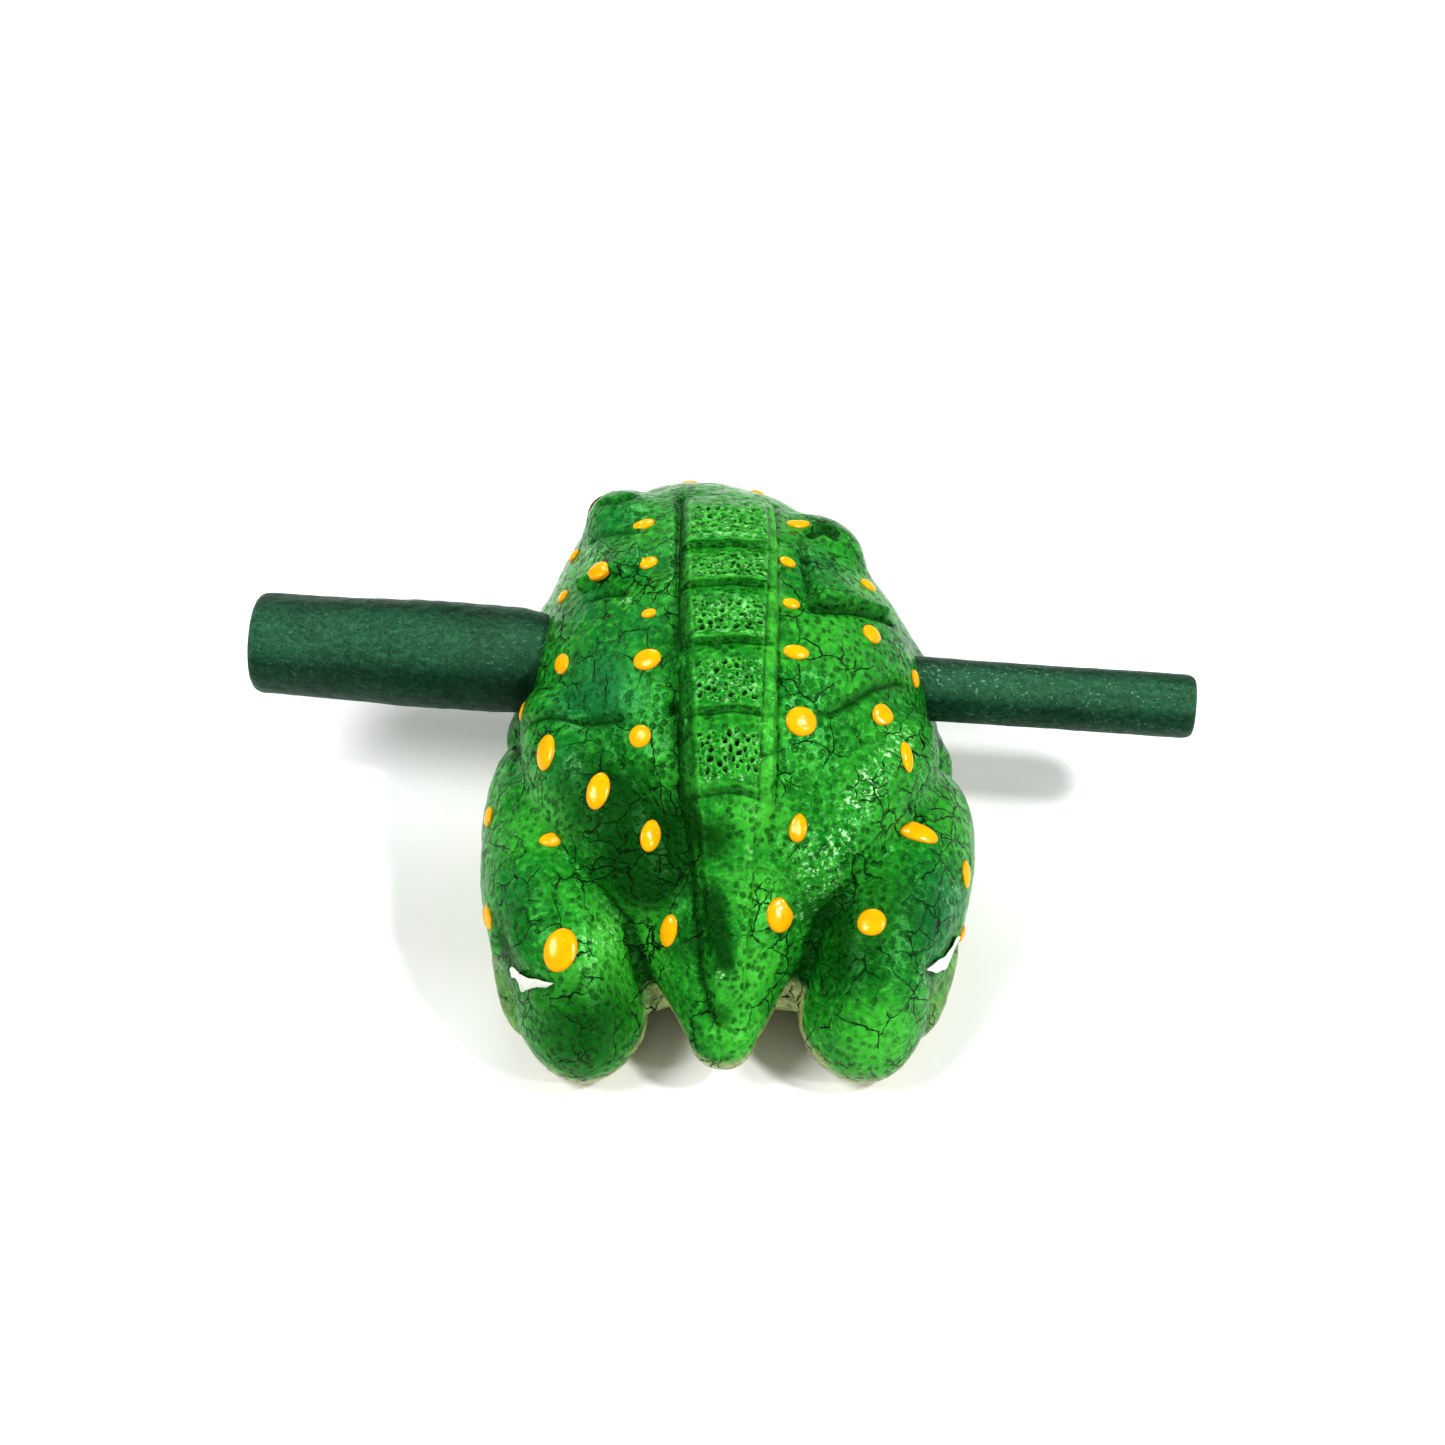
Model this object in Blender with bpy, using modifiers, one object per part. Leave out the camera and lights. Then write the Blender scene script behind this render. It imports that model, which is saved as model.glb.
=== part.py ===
"""A carved wooden croaking frog: a hollow, ridge-backed rasp with its turned beater stored through the body.

The frog sits on its flat belly on Z = 0, faces -Y, and its left flank is +X. The beater lies in a hole bored
through both flanks, with its thick end on the +X side, and it pulls out along its own length.
All shape values are in millimetres. They become metres where an object's vertices are written.
"""

import math

import bmesh
import bpy
import numpy as np
from mathutils import Matrix

MM = 0.001

# ---------------------------------------------------------------- driving dimensions, mm
BODY_HALF_WIDTH = 30.5
BELLY_Z = 22.5
BACK_RADIUS = 25.0
HIP_LINE_Y = 18.0
SKEW_DEG = 5.3
HEAD_SKEW_DEG = 5.0
HEAD_LEAN = 1.2
HIP_LEAN = 0.8
BEATER_CLUB_END = 73.0
BEATER_ROD_END = -70.8
BEATER_ROD_RADIUS = 5.0
BEATER_CLUB_RADIUS = 8.4
BEATER_AXIS_Y = -15.6
BEATER_AXIS_Z = 26.0
BORE_CLEARANCE = 0.3
BORE_REACH = 45.0
CLUB_NECK = (36.0, 20.0)
CHAMBER_CENTRE = (0.0, -16.0, 23.0)
CHAMBER_RADII = (18.0, 27.0, 13.5)
MOUTH_CENTRE = (0.0, -46.0, 23.5)
MOUTH_RADII = (17.0, 15.0, 6.0)

# Spine tiles: each starts flush at its front edge and stands proud at its rear edge, like a roof shingle.
TILE_EDGES_Y = (-35.0, -22.0, -13.6, -3.2, 7.0, 16.4)
TILE_HALF_WIDTH = 6.4
TILE_NARROWING = 0.12
TILE_OVERLAP = 0.6
TILE_FRONT_LIFT = 1.4
TILE_REAR_LIFT = 2.6
TILE_DEPTH = 7.0
TABLE_WIDTH = 140.0

# The square scale behind each eye, by its front and rear edges. The right one lies further back.
BROW_TILES = {
    "brow_left": ([(22.5, -32.0), (12.5, -32.0)], [(23.5, -22.0), (12.5, -21.0)]),
    "brow_right": ([(-12.0, -26.5), (-21.0, -26.5)], [(-12.3, -14.5), (-23.5, -17.5)]),
}
BROW_FRONT_LIFT = 0.3
BROW_REAR_LIFT = 1.4

# ---------------------------------------------------------------- mesh fineness
CAGE_CUTS = 43
SPREAD_STEPS = 80
SMOOTH_STEPS = 12
CAGE_CENTRE = (0.0, -10.0, 17.0)
SKIN_KEPT = 0.30
BEATER_SIDES = 40
CUTTER_SEGMENTS = 32

# ---------------------------------------------------------------- paint
GREEN_LACQUER = (0.035, 0.30, 0.05, 1.0)
BEATER_GREEN = (0.02, 0.11, 0.05, 1.0)


# ================================================================ carving functions
def turn(yaw_deg, pitch_deg):
    """Rotation whose columns are a lump's own axes: yaw about Z, then pitch about its own X."""
    yaw = Matrix.Rotation(math.radians(yaw_deg), 3, "Z")
    pitch = Matrix.Rotation(math.radians(pitch_deg), 3, "X")
    return np.array(yaw @ pitch)


def ellipsoid(points, centre, radii, yaw=0.0, pitch=0.0):
    """Distance to an ellipsoid, close to true near its surface."""
    local = (points - np.array(centre)) @ turn(yaw, pitch)
    radii = np.array(radii)
    scaled = np.linalg.norm(local / radii, axis=1)
    slope = np.linalg.norm(local / radii**2, axis=1)
    return scaled * (scaled - 1.0) / np.maximum(slope, 1e-6)


def tapered_limb(points, start, end, start_radius, end_radius):
    """Distance to a round limb that tapers from one ball to another."""
    start = np.array(start)
    along = np.array(end) - start
    share = np.clip((points - start) @ along / (along @ along), 0.0, 1.0)
    nearest = start + share[:, None] * along
    radius = start_radius + share * (end_radius - start_radius)
    return np.linalg.norm(points - nearest, axis=1) - radius


def blend(first, second, width):
    """Union of two forms with a fillet about as wide as width."""
    share = np.clip(0.5 + 0.5 * (second - first) / width, 0.0, 1.0)
    return second + (first - second) * share - width * share * (1.0 - share)


def ramp(value, start, end):
    """Goes smoothly from 0 at start to 1 at end."""
    share = np.clip((value - start) / (end - start), 0.0, 1.0)
    return share * share * (3.0 - 2.0 * share)


def trunk(points):
    """Rib cage, belly, rump and tail as one smooth mass."""
    cage = ellipsoid(points, (0, -13, BELLY_Z), (BODY_HALF_WIDTH, 33, BACK_RADIUS))
    belly = ellipsoid(points, (0, -3, 12), (28, 36, 16))
    rump = tapered_limb(points, (0, 5, 20.5), (0, 39.6, 9.0), 17.0, 4.6)
    return blend(blend(cage, belly, 6.0), rump, 8.0)


def head(points):
    """Skull, snout and lower jaw."""
    skull = ellipsoid(points, (0, -30, 29.0), (20.5, 17, 14.2))
    snout = ellipsoid(points, (0, -38.5, 28.0), (13.5, 12, 8))
    jaw = ellipsoid(points, (0, -35, 15), (18, 14, 9))
    return blend(blend(skull, snout, 6.0), jaw, 4.0)


def hind_leg(points):
    """Thigh, shank and foot of a folded hind leg, on the +X side."""
    thigh = ellipsoid(points, (18.5, 9, 24), (9.5, 20, 11.5), yaw=30, pitch=-13)
    shank = ellipsoid(points, (25, HIP_LINE_Y, 13), (11, 26, 13), yaw=13, pitch=-6)
    heel = ellipsoid(points, (20.3, 33.3, 7.5), (9.6, 11.6, 9.2))
    foot = ellipsoid(points, (27.3, 16, 4.0), (8.0, 20.5, 6.0))
    return blend(blend(blend(thigh, shank, 2.0), heel, 2.0), foot, 1.0)


def front_leg(points):
    """Upper arm, forearm and hand of a front leg, on the +X side."""
    upper = tapered_limb(points, (22.5, -19, 22), (27.5, -13, 9), 8.5, 6.5)
    forearm = tapered_limb(points, (28, -14, 9), (21, -36, 5), 6.5, 4.5)
    hand = ellipsoid(points, (19, -40, 2.5), (8, 8.5, 4.5))
    return blend(blend(upper, forearm, 3.0), hand, 3.0)


def eye_mound(points):
    """Raised lid over an eye, on the +X side."""
    return ellipsoid(points, (15.0, -32.5, 36.7), (6.2, 7, 6.3), yaw=-25)


def square_up(points):
    """Undoes the skew: the front half lies square to the bore, and the head is turned a little more."""
    y = points[:, 1]
    front = 1.0 - ramp(y, -8.0, 12.0)
    head_share = ramp(-y, 18.0, 36.0)
    slope = math.tan(math.radians(SKEW_DEG)) * front + math.tan(math.radians(HEAD_SKEW_DEG)) * head_share
    lean = HEAD_LEAN * ramp(-y, 22.0, 44.0) + HIP_LEAN * ramp(y, 8.0, 32.0)
    return np.column_stack([points[:, 0] - lean, y + slope * points[:, 0], points[:, 2]])


def carved_frog(points):
    """Distance to the whole carved outside; both flanks share the same forms."""
    half = square_up(points)
    half[:, 0] = np.abs(half[:, 0])
    form = blend(trunk(half), head(half), 8.0)
    form = blend(form, front_leg(half), 3.0)
    form = blend(form, hind_leg(half), 2.5)
    return blend(form, eye_mound(half), 2.0)


def surface_normals(points, form):
    """Unit gradient of a form's distance."""
    step = 0.05
    slopes = []
    for axis in np.eye(3):
        slopes.append(form(points + axis * step) - form(points - axis * step))
    gradient = np.column_stack(slopes)
    return gradient / np.maximum(np.linalg.norm(gradient, axis=1), 1e-9)[:, None]


def reach_inward(directions, centre, form):
    """Where rays that come in towards the centre first meet the form."""
    reach = np.full(len(directions), 90.0)
    for _ in range(80):
        gap = form(centre + directions * reach[:, None])
        reach -= np.clip(gap, -2.0, 4.0) * 0.8
    return centre + directions * reach[:, None]


def height_at(x, y):
    """Height of the carved back above a spot on the table."""
    above = reach_inward(np.array([[0.0, 0.0, 1.0]]), np.array((x, y, 0.0)), carved_frog)
    return above[0, 2]


def add_up(indices, vectors, count):
    """Sums the vectors that share an index."""
    return np.column_stack([np.bincount(indices, column, count) for column in vectors.T])


def relax_onto(points, quads, form, steps, power):
    """Slides each point towards the middles of its faces, then back onto the form.

    A face pulls by its area to the given power: 2 spreads the points evenly, 0 smooths their rows.
    """
    count = len(points)
    for _ in range(steps):
        corners = points[quads]
        middle = corners.mean(axis=1)
        area = np.cross(corners[:, 2] - corners[:, 0], corners[:, 3] - corners[:, 1])
        weight = np.linalg.norm(area, axis=1) ** power
        pull = np.zeros_like(points)
        total = np.zeros(count)
        for corner in range(4):
            pull += add_up(quads[:, corner], (middle - corners[:, corner]) * weight[:, None], count)
            total += np.bincount(quads[:, corner], weight, count)
        pull /= total[:, None]
        normals = surface_normals(points, form)
        pull -= normals * np.sum(pull * normals, axis=1)[:, None]
        points = points + 0.6 * pull
        points = points - normals * np.clip(form(points), -1.5, 1.5)[:, None]
    return points


# ================================================================ scene helpers
def clear_scene():
    for obj in list(bpy.data.objects):
        bpy.data.objects.remove(obj)


def new_collection(name):
    collection = bpy.data.collections.new(name)
    bpy.context.scene.collection.children.link(collection)
    return collection


def paint(name, colour, roughness):
    material = bpy.data.materials.new(name)
    material.use_nodes = True
    shader = material.node_tree.nodes["Principled BSDF"]
    shader.inputs["Base Color"].default_value = colour
    shader.inputs["Roughness"].default_value = roughness
    shader.inputs["Metallic"].default_value = 0.0
    return material


def add_object(name, mesh, collection, material=None):
    obj = bpy.data.objects.new(name, mesh)
    collection.objects.link(obj)
    if material:
        mesh.materials.append(material)
    return obj


def hide_cutter(obj):
    obj.hide_render = True
    obj.display_type = "WIRE"


def combine(obj, other, operation):
    modifier = obj.modifiers.new(f"{operation.lower()}_{other.name}", "BOOLEAN")
    modifier.operation = operation
    modifier.solver = "EXACT"
    modifier.object = other


def beater_axis():
    """Matrix that lays a turned piece along the beater's bore, its +Z end towards +X."""
    place = Matrix.Translation((0, BEATER_AXIS_Y * MM, BEATER_AXIS_Z * MM))
    skew = Matrix.Rotation(math.radians(-SKEW_DEG), 4, "Z")
    lay = Matrix.Rotation(math.radians(90), 4, "Y")
    return place @ skew @ lay


def turned(name, profile, collection, sides, material=None):
    """A lathe-turned piece: (radius, height) points from top to bottom, spun about Z by a Screw modifier."""
    mesh = bpy.data.meshes.new(name)
    points = [(radius * MM, 0.0, height * MM) for radius, height in profile]
    mesh.from_pydata(points, [(i, i + 1) for i in range(len(points) - 1)], [])
    obj = add_object(name, mesh, collection, material)
    spin = obj.modifiers.new("spin", "SCREW")
    spin.steps = sides
    spin.render_steps = sides
    spin.use_merge_vertices = True
    spin.merge_threshold = 0.00002
    obj.matrix_world = beater_axis()
    return obj


# ================================================================ pieces
def make_frog_body(collection, material):
    """The one carved block: a cube cage drawn onto the carved form."""
    cage = bmesh.new()
    bmesh.ops.create_cube(cage, size=2.0)
    bmesh.ops.subdivide_edges(cage, edges=cage.edges[:], cuts=CAGE_CUTS, use_grid_fill=True)
    mesh = bpy.data.meshes.new("frog_body")
    cage.to_mesh(mesh)
    cage.free()

    points = np.empty(len(mesh.vertices) * 3)
    mesh.vertices.foreach_get("co", points)
    points = points.reshape(-1, 3)
    quads = np.empty(len(mesh.loops), dtype=np.int32)
    mesh.loops.foreach_get("vertex_index", quads)
    quads = quads.reshape(-1, 4)

    directions = points / np.linalg.norm(points, axis=1)[:, None]
    points = reach_inward(directions, np.array(CAGE_CENTRE), carved_frog)
    points = relax_onto(points, quads, carved_frog, SPREAD_STEPS, 2)
    points = relax_onto(points, quads, carved_frog, SMOOTH_STEPS, 0)
    mesh.vertices.foreach_set("co", (points * MM).ravel())
    mesh.update()
    mesh.shade_smooth()
    body = add_object("frog_body", mesh, collection, material)
    thin = body.modifiers.new("thin_out", "DECIMATE")
    thin.ratio = SKIN_KEPT
    return body


def raised_tile(name, front, rear, collection):
    """A block set into the back. Each edge is its (left, right) corners as (x, y, top height)."""
    tile = add_object(name, bpy.data.meshes.new(name), collection)
    block = bmesh.new()
    bmesh.ops.create_cube(block, size=2.0)
    for corner in block.verts:
        edge = rear if corner.co.y > 0 else front
        x, y, top = edge[0] if corner.co.x > 0 else edge[1]
        height = top if corner.co.z > 0 else top - TILE_DEPTH
        corner.co = (x * MM, y * MM, height * MM)
    block.to_mesh(tile.data)
    block.free()
    hide_cutter(tile)
    return tile


def spine_tiles(collection):
    """The row of shingles down the middle of the back."""
    tiles = []
    for number, (front_y, rear_y) in enumerate(zip(TILE_EDGES_Y, TILE_EDGES_Y[1:])):
        front_z = height_at(0.0, front_y) + (TILE_FRONT_LIFT if number else 0.0)
        rear_z = height_at(0.0, rear_y) + TILE_REAR_LIFT
        w = TILE_HALF_WIDTH - number * TILE_NARROWING
        front = [(w, front_y - TILE_OVERLAP, front_z), (-w, front_y - TILE_OVERLAP, front_z)]
        rear = [(w, rear_y, rear_z), (-w, rear_y, rear_z)]
        tiles.append(raised_tile(f"spine_tile_{number}", front, rear, collection))
    return tiles


def brow_tiles(collection):
    """The square scale behind each eye, nearly flush in front and proud at the rear."""
    tiles = []
    for name, (front_xy, rear_xy) in BROW_TILES.items():
        front = [(x, y, height_at(x, y) + BROW_FRONT_LIFT) for x, y in front_xy]
        rear = [(x, y, height_at(x, y) + BROW_REAR_LIFT) for x, y in rear_xy]
        tiles.append(raised_tile(name, front, rear, collection))
    return tiles


def table_cutter(collection):
    """Everything below the table top, cut away to leave the flat belly."""
    edge = TABLE_WIDTH / 2
    front = [(edge, -edge, 0.0), (-edge, -edge, 0.0)]
    rear = [(edge, edge, 0.0), (-edge, edge, 0.0)]
    return raised_tile("table_cutter", front, rear, collection)


def ball_cutter(name, centre, radii, collection):
    """An ellipsoid hollow."""
    mesh = bpy.data.meshes.new(name)
    ball = bmesh.new()
    bmesh.ops.create_uvsphere(ball, u_segments=CUTTER_SEGMENTS, v_segments=CUTTER_SEGMENTS // 2, radius=1.0)
    ball.to_mesh(mesh)
    ball.free()
    size = Matrix.Diagonal((*[r * MM for r in radii], 1.0))
    mesh.transform(Matrix.Translation([c * MM for c in centre]) @ size)
    cutter = add_object(name, mesh, collection)
    hide_cutter(cutter)
    return cutter


def neck_profile(club, rod, shift):
    """The swelling from the rod to the club, from its thick end to its thin end, moved along by shift."""
    thick, thin = CLUB_NECK
    length = thick - thin
    return [
        (club, thick + shift),
        (club - 0.07 * (club - rod), thick - 0.25 * length + shift),
        (club - 0.30 * (club - rod), thick - 0.50 * length + shift),
        (club - 0.60 * (club - rod), thick - 0.72 * length + shift),
        (rod, thin + shift),
    ]


def beater_profile():
    """(radius, height) from the club's end down to the rod's end, height 0 at the frog's middle."""
    top = BEATER_CLUB_END
    end = BEATER_ROD_END
    club = BEATER_CLUB_RADIUS
    rod = BEATER_ROD_RADIUS
    return [
        (0.0, top),
        (club * 0.80, top),
        (club * 0.94, top - 0.9),
        (club * 0.99, top - 2.5),
        (club, top - 6.0),
        *neck_profile(club, rod, 0.0),
        (rod, end + 3.0),
        (rod * 0.92, end + 1.2),
        (rod * 0.68, end),
        (0.0, end),
    ]


def bore_profile():
    """(radius, height) of the stepped hole: a seat that follows the club's neck, then a plain bore."""
    seat = BEATER_CLUB_RADIUS + BORE_CLEARANCE
    bore = BEATER_ROD_RADIUS + BORE_CLEARANCE
    return [
        (0.0, BORE_REACH),
        (seat, BORE_REACH),
        *neck_profile(seat, bore, -BORE_CLEARANCE),
        (bore, -BORE_REACH),
        (0.0, -BORE_REACH),
    ]


def main():
    clear_scene()
    frog = new_collection("croaking_frog")
    cutters = new_collection("cutters")

    body = make_frog_body(frog, paint("green_lacquer", GREEN_LACQUER, 0.35))
    chamber = ball_cutter("sound_chamber", CHAMBER_CENTRE, CHAMBER_RADII, cutters)
    mouth = ball_cutter("mouth_opening", MOUTH_CENTRE, MOUTH_RADII, cutters)
    bore = turned("beater_bore", bore_profile(), cutters, BEATER_SIDES)
    hide_cutter(bore)
    for tile in [*spine_tiles(cutters), *brow_tiles(cutters)]:
        combine(body, tile, "UNION")
    for cutter in (table_cutter(cutters), chamber, mouth, bore):
        combine(body, cutter, "DIFFERENCE")

    beater = turned(
        "beater", beater_profile(), frog, BEATER_SIDES, paint("beater_green", BEATER_GREEN, 0.5)
    )
    beater.data.shade_smooth()


if __name__ == "__main__":
    main()
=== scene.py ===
"""The finished look of a carved wooden croaking frog and its beater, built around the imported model.

Lengths in the form and surface functions are millimetres, as on a carver's drawing.
Meshes are written in metres.
"""
import math

import bpy
import numpy as np
from bpy.props import FloatProperty, FloatVectorProperty, IntProperty, PointerProperty
from mathutils import Matrix, Vector


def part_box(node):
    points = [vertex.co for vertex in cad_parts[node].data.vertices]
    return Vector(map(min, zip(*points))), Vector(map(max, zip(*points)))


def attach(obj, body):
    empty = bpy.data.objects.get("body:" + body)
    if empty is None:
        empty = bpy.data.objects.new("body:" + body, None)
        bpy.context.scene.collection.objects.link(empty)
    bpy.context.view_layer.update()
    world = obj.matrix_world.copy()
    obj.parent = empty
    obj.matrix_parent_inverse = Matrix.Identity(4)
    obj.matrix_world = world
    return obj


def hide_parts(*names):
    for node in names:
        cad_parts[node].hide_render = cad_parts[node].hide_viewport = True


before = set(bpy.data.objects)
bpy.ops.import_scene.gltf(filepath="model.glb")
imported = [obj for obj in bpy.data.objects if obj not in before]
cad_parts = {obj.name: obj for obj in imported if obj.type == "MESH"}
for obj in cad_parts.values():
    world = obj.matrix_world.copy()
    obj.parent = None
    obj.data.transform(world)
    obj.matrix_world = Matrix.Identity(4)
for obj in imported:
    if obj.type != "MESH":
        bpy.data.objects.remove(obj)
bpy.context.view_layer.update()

bl_info = {
    "name": "Croaking Frog",
    "version": (1, 0, 0),
    "blender": (4, 5, 0),
    "location": "View3D > Sidebar > Frog",
    "description": "Builds a lacquered wooden croaking frog and its beater",
    "category": "Add Mesh",
}

MM = 0.001
BODY = "frog"
STICK = "beater"
FROG_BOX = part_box("frog_body")

# ---------------------------------------------------------------- the carver's form, mm
BODY_HALF_WIDTH = 30.5
BELLY_Z = 22.5
BACK_RADIUS = 25.0
HIP_LINE_Y = 18.0
SKEW_DEG = 5.3
HEAD_SKEW_DEG = 5.0
LEG_FOLD = 1.1
HEAD_LEAN = 1.2
HIP_LEAN = 0.8
CAGE_CENTRE = (0.0, -10.0, 17.0)
OUTSIDE_REACH = 90.0
OUTSIDE_HEIGHT = 60.0
APPROACH_STEPS = 60

# How the net is evened out on the form: (steps, power of a face's area that it pulls with).
COARSE_RELAX = (100, 2)
FINE_RELAX = ((6, 0), (8, 1), (3, 0))

CHAMBER = ((0.0, -16.0, 23.0), (18.0, 27.0, 13.5))
MOUTH = ((0.0, -46.0, 23.5), (17.0, 15.0, 6.0))

BEATER_AXIS_Y = -15.6
BEATER_AXIS_Z = 26.0
CLUB_END = 73.0
ROD_END = -70.8
CLUB_RADIUS = 8.4
ROD_RADIUS = 5.0
CLUB_NECK = (36.0, 20.0)
NECK_SHARES = (0.0, 0.28, 0.50, 0.75, 1.0)
NECK_SWELLING = (0.0, 0.40, 0.70, 0.93, 1.0)
CLUB_TAPER = 0.45
END_ROUNDING, END_RINGS = 2.1, 8
BORE_CLEARANCE = 0.3
BORE_REACH = 45.0
BORE_RINGS, BORE_SIDES = 91, 64

# The finished stick stays this far inside the turned blank, at its ends and round it.
END_GAP, SURFACE_GAP = 0.1, 0.06

# ---------------------------------------------------------------- the spine
TILE_EDGES_Y = (-35.0, -22.0, -13.6, -3.2, 7.0, 16.4)
SPINE_START_Y = -37.5
SPINE_END_Y = 43.2
TILE_RAMP_SHARE = 0.28
TILE_LIP_SHARE = 0.95
TILE_LOW, TILE_SHOULDER, TILE_HIGH = 0.55, 1.35, 2.05
TILE_SHARES = (0.0, TILE_RAMP_SHARE, TILE_LIP_SHARE, 1.0)
TILE_HEIGHTS = (TILE_LOW, TILE_SHOULDER, TILE_HIGH, TILE_HIGH - 0.15)
KEEL_PLACES_Y = (TILE_EDGES_Y[-1], 19.5, 20.3, 28.0, 34.5, 36.0, 37.5, SPINE_END_Y)
KEEL_HEIGHTS = (0.8, 1.6, 1.2, 1.45, 1.1, 1.6, 0.7, -0.3)
EDGE_BEND = 0.13
LEDGE_HEIGHT = 0.85
SKIRT_TUCK = 0.25
STRIP_THICKNESS = 1.2
PIT_FIELD = 5.6
PIT_JITTER = 0.42
PIT_RADIUS, PIT_RADIUS_SPREAD = 0.17, 0.27
PLATE_PLACES_Y = (-37.5, -34.0, -22.0, -13.6, -3.2, 7.0, 16.4, 19.0, 28.0, 36.0, 43.2)
PLATE_HALF_WIDTHS = (4.6, 5.7, 5.9, 5.6, 5.1, 4.6, 4.1, 3.6, 2.8, 1.9, 0.5)
SKIRT_PLACES_Y = (-37.5, -22.0, 16.4, 20.0, 36.0, 43.2)
SKIRT_WIDTHS = (1.6, 1.8, 2.9, 1.0, 0.8, 0.5)

# The square scale behind each eye as seen from above, by its corners: front two, then rear two.
BROW_PLATES = (
    ((22.5, -31), (13, -31), (12.5, -20.5), (22.5, -21.5)),
    ((-11.6, -25.5), (-20.5, -25.5), (-23.8, -17), (-13, -12.2)),
)

# Knife cuts in the back as seen from above: (points, depth, half width).
KNIFE_CUTS = (
    (((32.5, -6), (31, -2), (26.9, 0), (21, 2.6), (15.6, 4.5)), 0.75, 0.55),
    (((-25.5, -5.8), (-21, -1.5), (-17.5, 2), (-14.6, 4.3)), 0.75, 0.55),
    (((7.3, -37), (7.4, -20), (7.4, 0), (7, 14.8)), 0.5, 0.55),
    (((7, 14.8), (5.2, 24), (4.1, 33), (2.6, 39)), 0.8, 0.5),
    (((-6.9, -36), (-7, -10), (-6.8, 8), (-6.3, 18)), 0.35, 0.5),
    (((20.6, -17.6), (18, -17), (15.2, -15.8)), 0.7, 0.5),
    (((20.5, -31), (17, -30.2), (13.3, -28.4)), 0.45, 0.5),
    (((-11, -27), (-11.3, -20), (-12.3, -12)), 0.55, 0.5),
    (((-12.6, -11.5), (-18, -13.5), (-24, -16.2)), 1, 0.6),
    (((-12.6, -29), (-14.4, -30.4), (-16, -29.2)), 0.9, 0.8),
    (((19.4, -37), (17, -36), (15, -37.5)), 0.6, 0.6),
    (((8.1, 5), (8.1, 5.4)), 1.5, 0.55),
    (((18, -45.5), (17.4, -53)), 0.9, 0.65),
    (((22.6, -45.5), (23.4, -52)), 0.9, 0.65),
    (((-15.6, -39), (-14.9, -46)), 0.9, 0.65),
    (((-20, -39), (-20.9, -46)), 0.9, 0.65),
)

# Folds between the shank and the foot of each hind leg, as seen from above.
LEG_FOLDS = (
    ((33.8, 27.5), (32.3, 31.5), (30, 35), (25.5, 37.4)),
    ((-34.6, 25), (-32.7, 29.8), (-29.5, 33.4)),
)
FOLD_DEPTH, FOLD_HALF_WIDTH = 1.3, 1.0
FOLD_MIDDLE_Z, FOLD_HALF_HEIGHT = 15.0, 7.0

# The tail swells on both flanks near its tip, and the right haunch is beaded: (x, y, z, radius, depth).
TAIL_FLANK, TAIL_FLANK_RADII, TAIL_FLANK_SWELL = (4.8, 37.5, 10.0), (2.6, 4.0, 4.0), 0.9
BEADED_HAUNCH = (-14.0, 21.0, 29.0, 6.5, 0.30)

# Cuts and plates show where the skin faces up by this share or more, and fade out below it.
FACING_UP = (0.05, 0.35)
PAINT_ALLOWANCE = 0.12

# Round dents: (x, y, z, radius, depth).
DENTS = ((5.2, -49.6, 32.0, 0.95, 0.9), (-2.8, -48.2, 32.0, 0.95, 0.9))

# Raised paint spots: (x, y, z near the skin, half length, half width, turn in degrees from crosswise).
PAINT_SPOTS = (
    (13, -30.5, 44, 1.8, 1.2, 0), (11.9, -21, 45, 1.5, 1.3, 0), (19, -21.5, 42, 1.9, 1.6, -15),
    (11.6, -10.3, 45.4, 1.2, 0.8, 0), (24.2, -32.5, 35, 1.2, 1.2, 0), (25, -23, 35.4, 1.2, 1.3, 30),
    (11.8, -2.6, 44, 2.2, 1.7, 0), (24.8, -8.7, 36.2, 2, 1.6, -40), (31.6, -7.6, 27, 1.7, 1.4, 60),
    (12.8, 7.8, 39, 1.8, 1.7, 0), (26.7, 6, 33.3, 2.8, 1.9, 80), (18.7, 14, 34.3, 2.9, 1.7, 75),
    (10.9, 19.4, 30.8, 2.5, 1.6, 75), (25.7, 16.7, 26.5, 2, 1.2, 0), (8.6, 29, 20.8, 2.5, 1.4, 75),
    (23.9, 33.3, 22.1, 3.3, 2.5, 70), (35.8, 7.3, 20, 1.8, 1.2, 90), (35, 23, 16, 2.2, 1.3, 90),
    (-10.6, -31, 43, 2, 1, 20), (-8.8, -20.3, 46, 1.4, 1, -20), (-9.2, -11.5, 46.3, 1.4, 1, 0),
    (-9.8, -3, 45, 2, 1.2, 0), (-20.8, -20.8, 40, 1.5, 1.1, 0), (-21.2, -10.7, 40.5, 1.7, 1.6, 0),
    (-28, -9.3, 32.2, 1.6, 1.1, 90), (-10.5, 6.7, 41, 2.4, 2.2, 0), (-22.7, 1.5, 36.5, 1.9, 1.8, 0),
    (-26.1, 7.3, 33.8, 2.4, 1.1, 100), (-9.8, 18.4, 31.3, 2.2, 1.5, 90),
    (-27.4, 14.9, 26.1, 3.7, 1.6, -12), (-35.2, 17.4, 19, 2.1, 1.2, 90), (-7.6, 27.4, 22.4, 2.6, 2.2, 90),
    (-20.4, 29.4, 23.5, 2.2, 2.1, 0), (6, -46.5, 34, 1.5, 1.2, 0), (-5, -47, 34, 1.4, 1.1, 0),
    (27, -30, 20, 1.6, 1.3, 90), (-27, -28, 20, 1.6, 1.3, 90), (16, -46, 14, 1.3, 1.1, 0),
    (-14, -46, 14, 1.3, 1.1, 0), (37, 18, 9, 2, 1.4, 90), (-37, 22, 9, 2, 1.4, 90),
)

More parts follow.
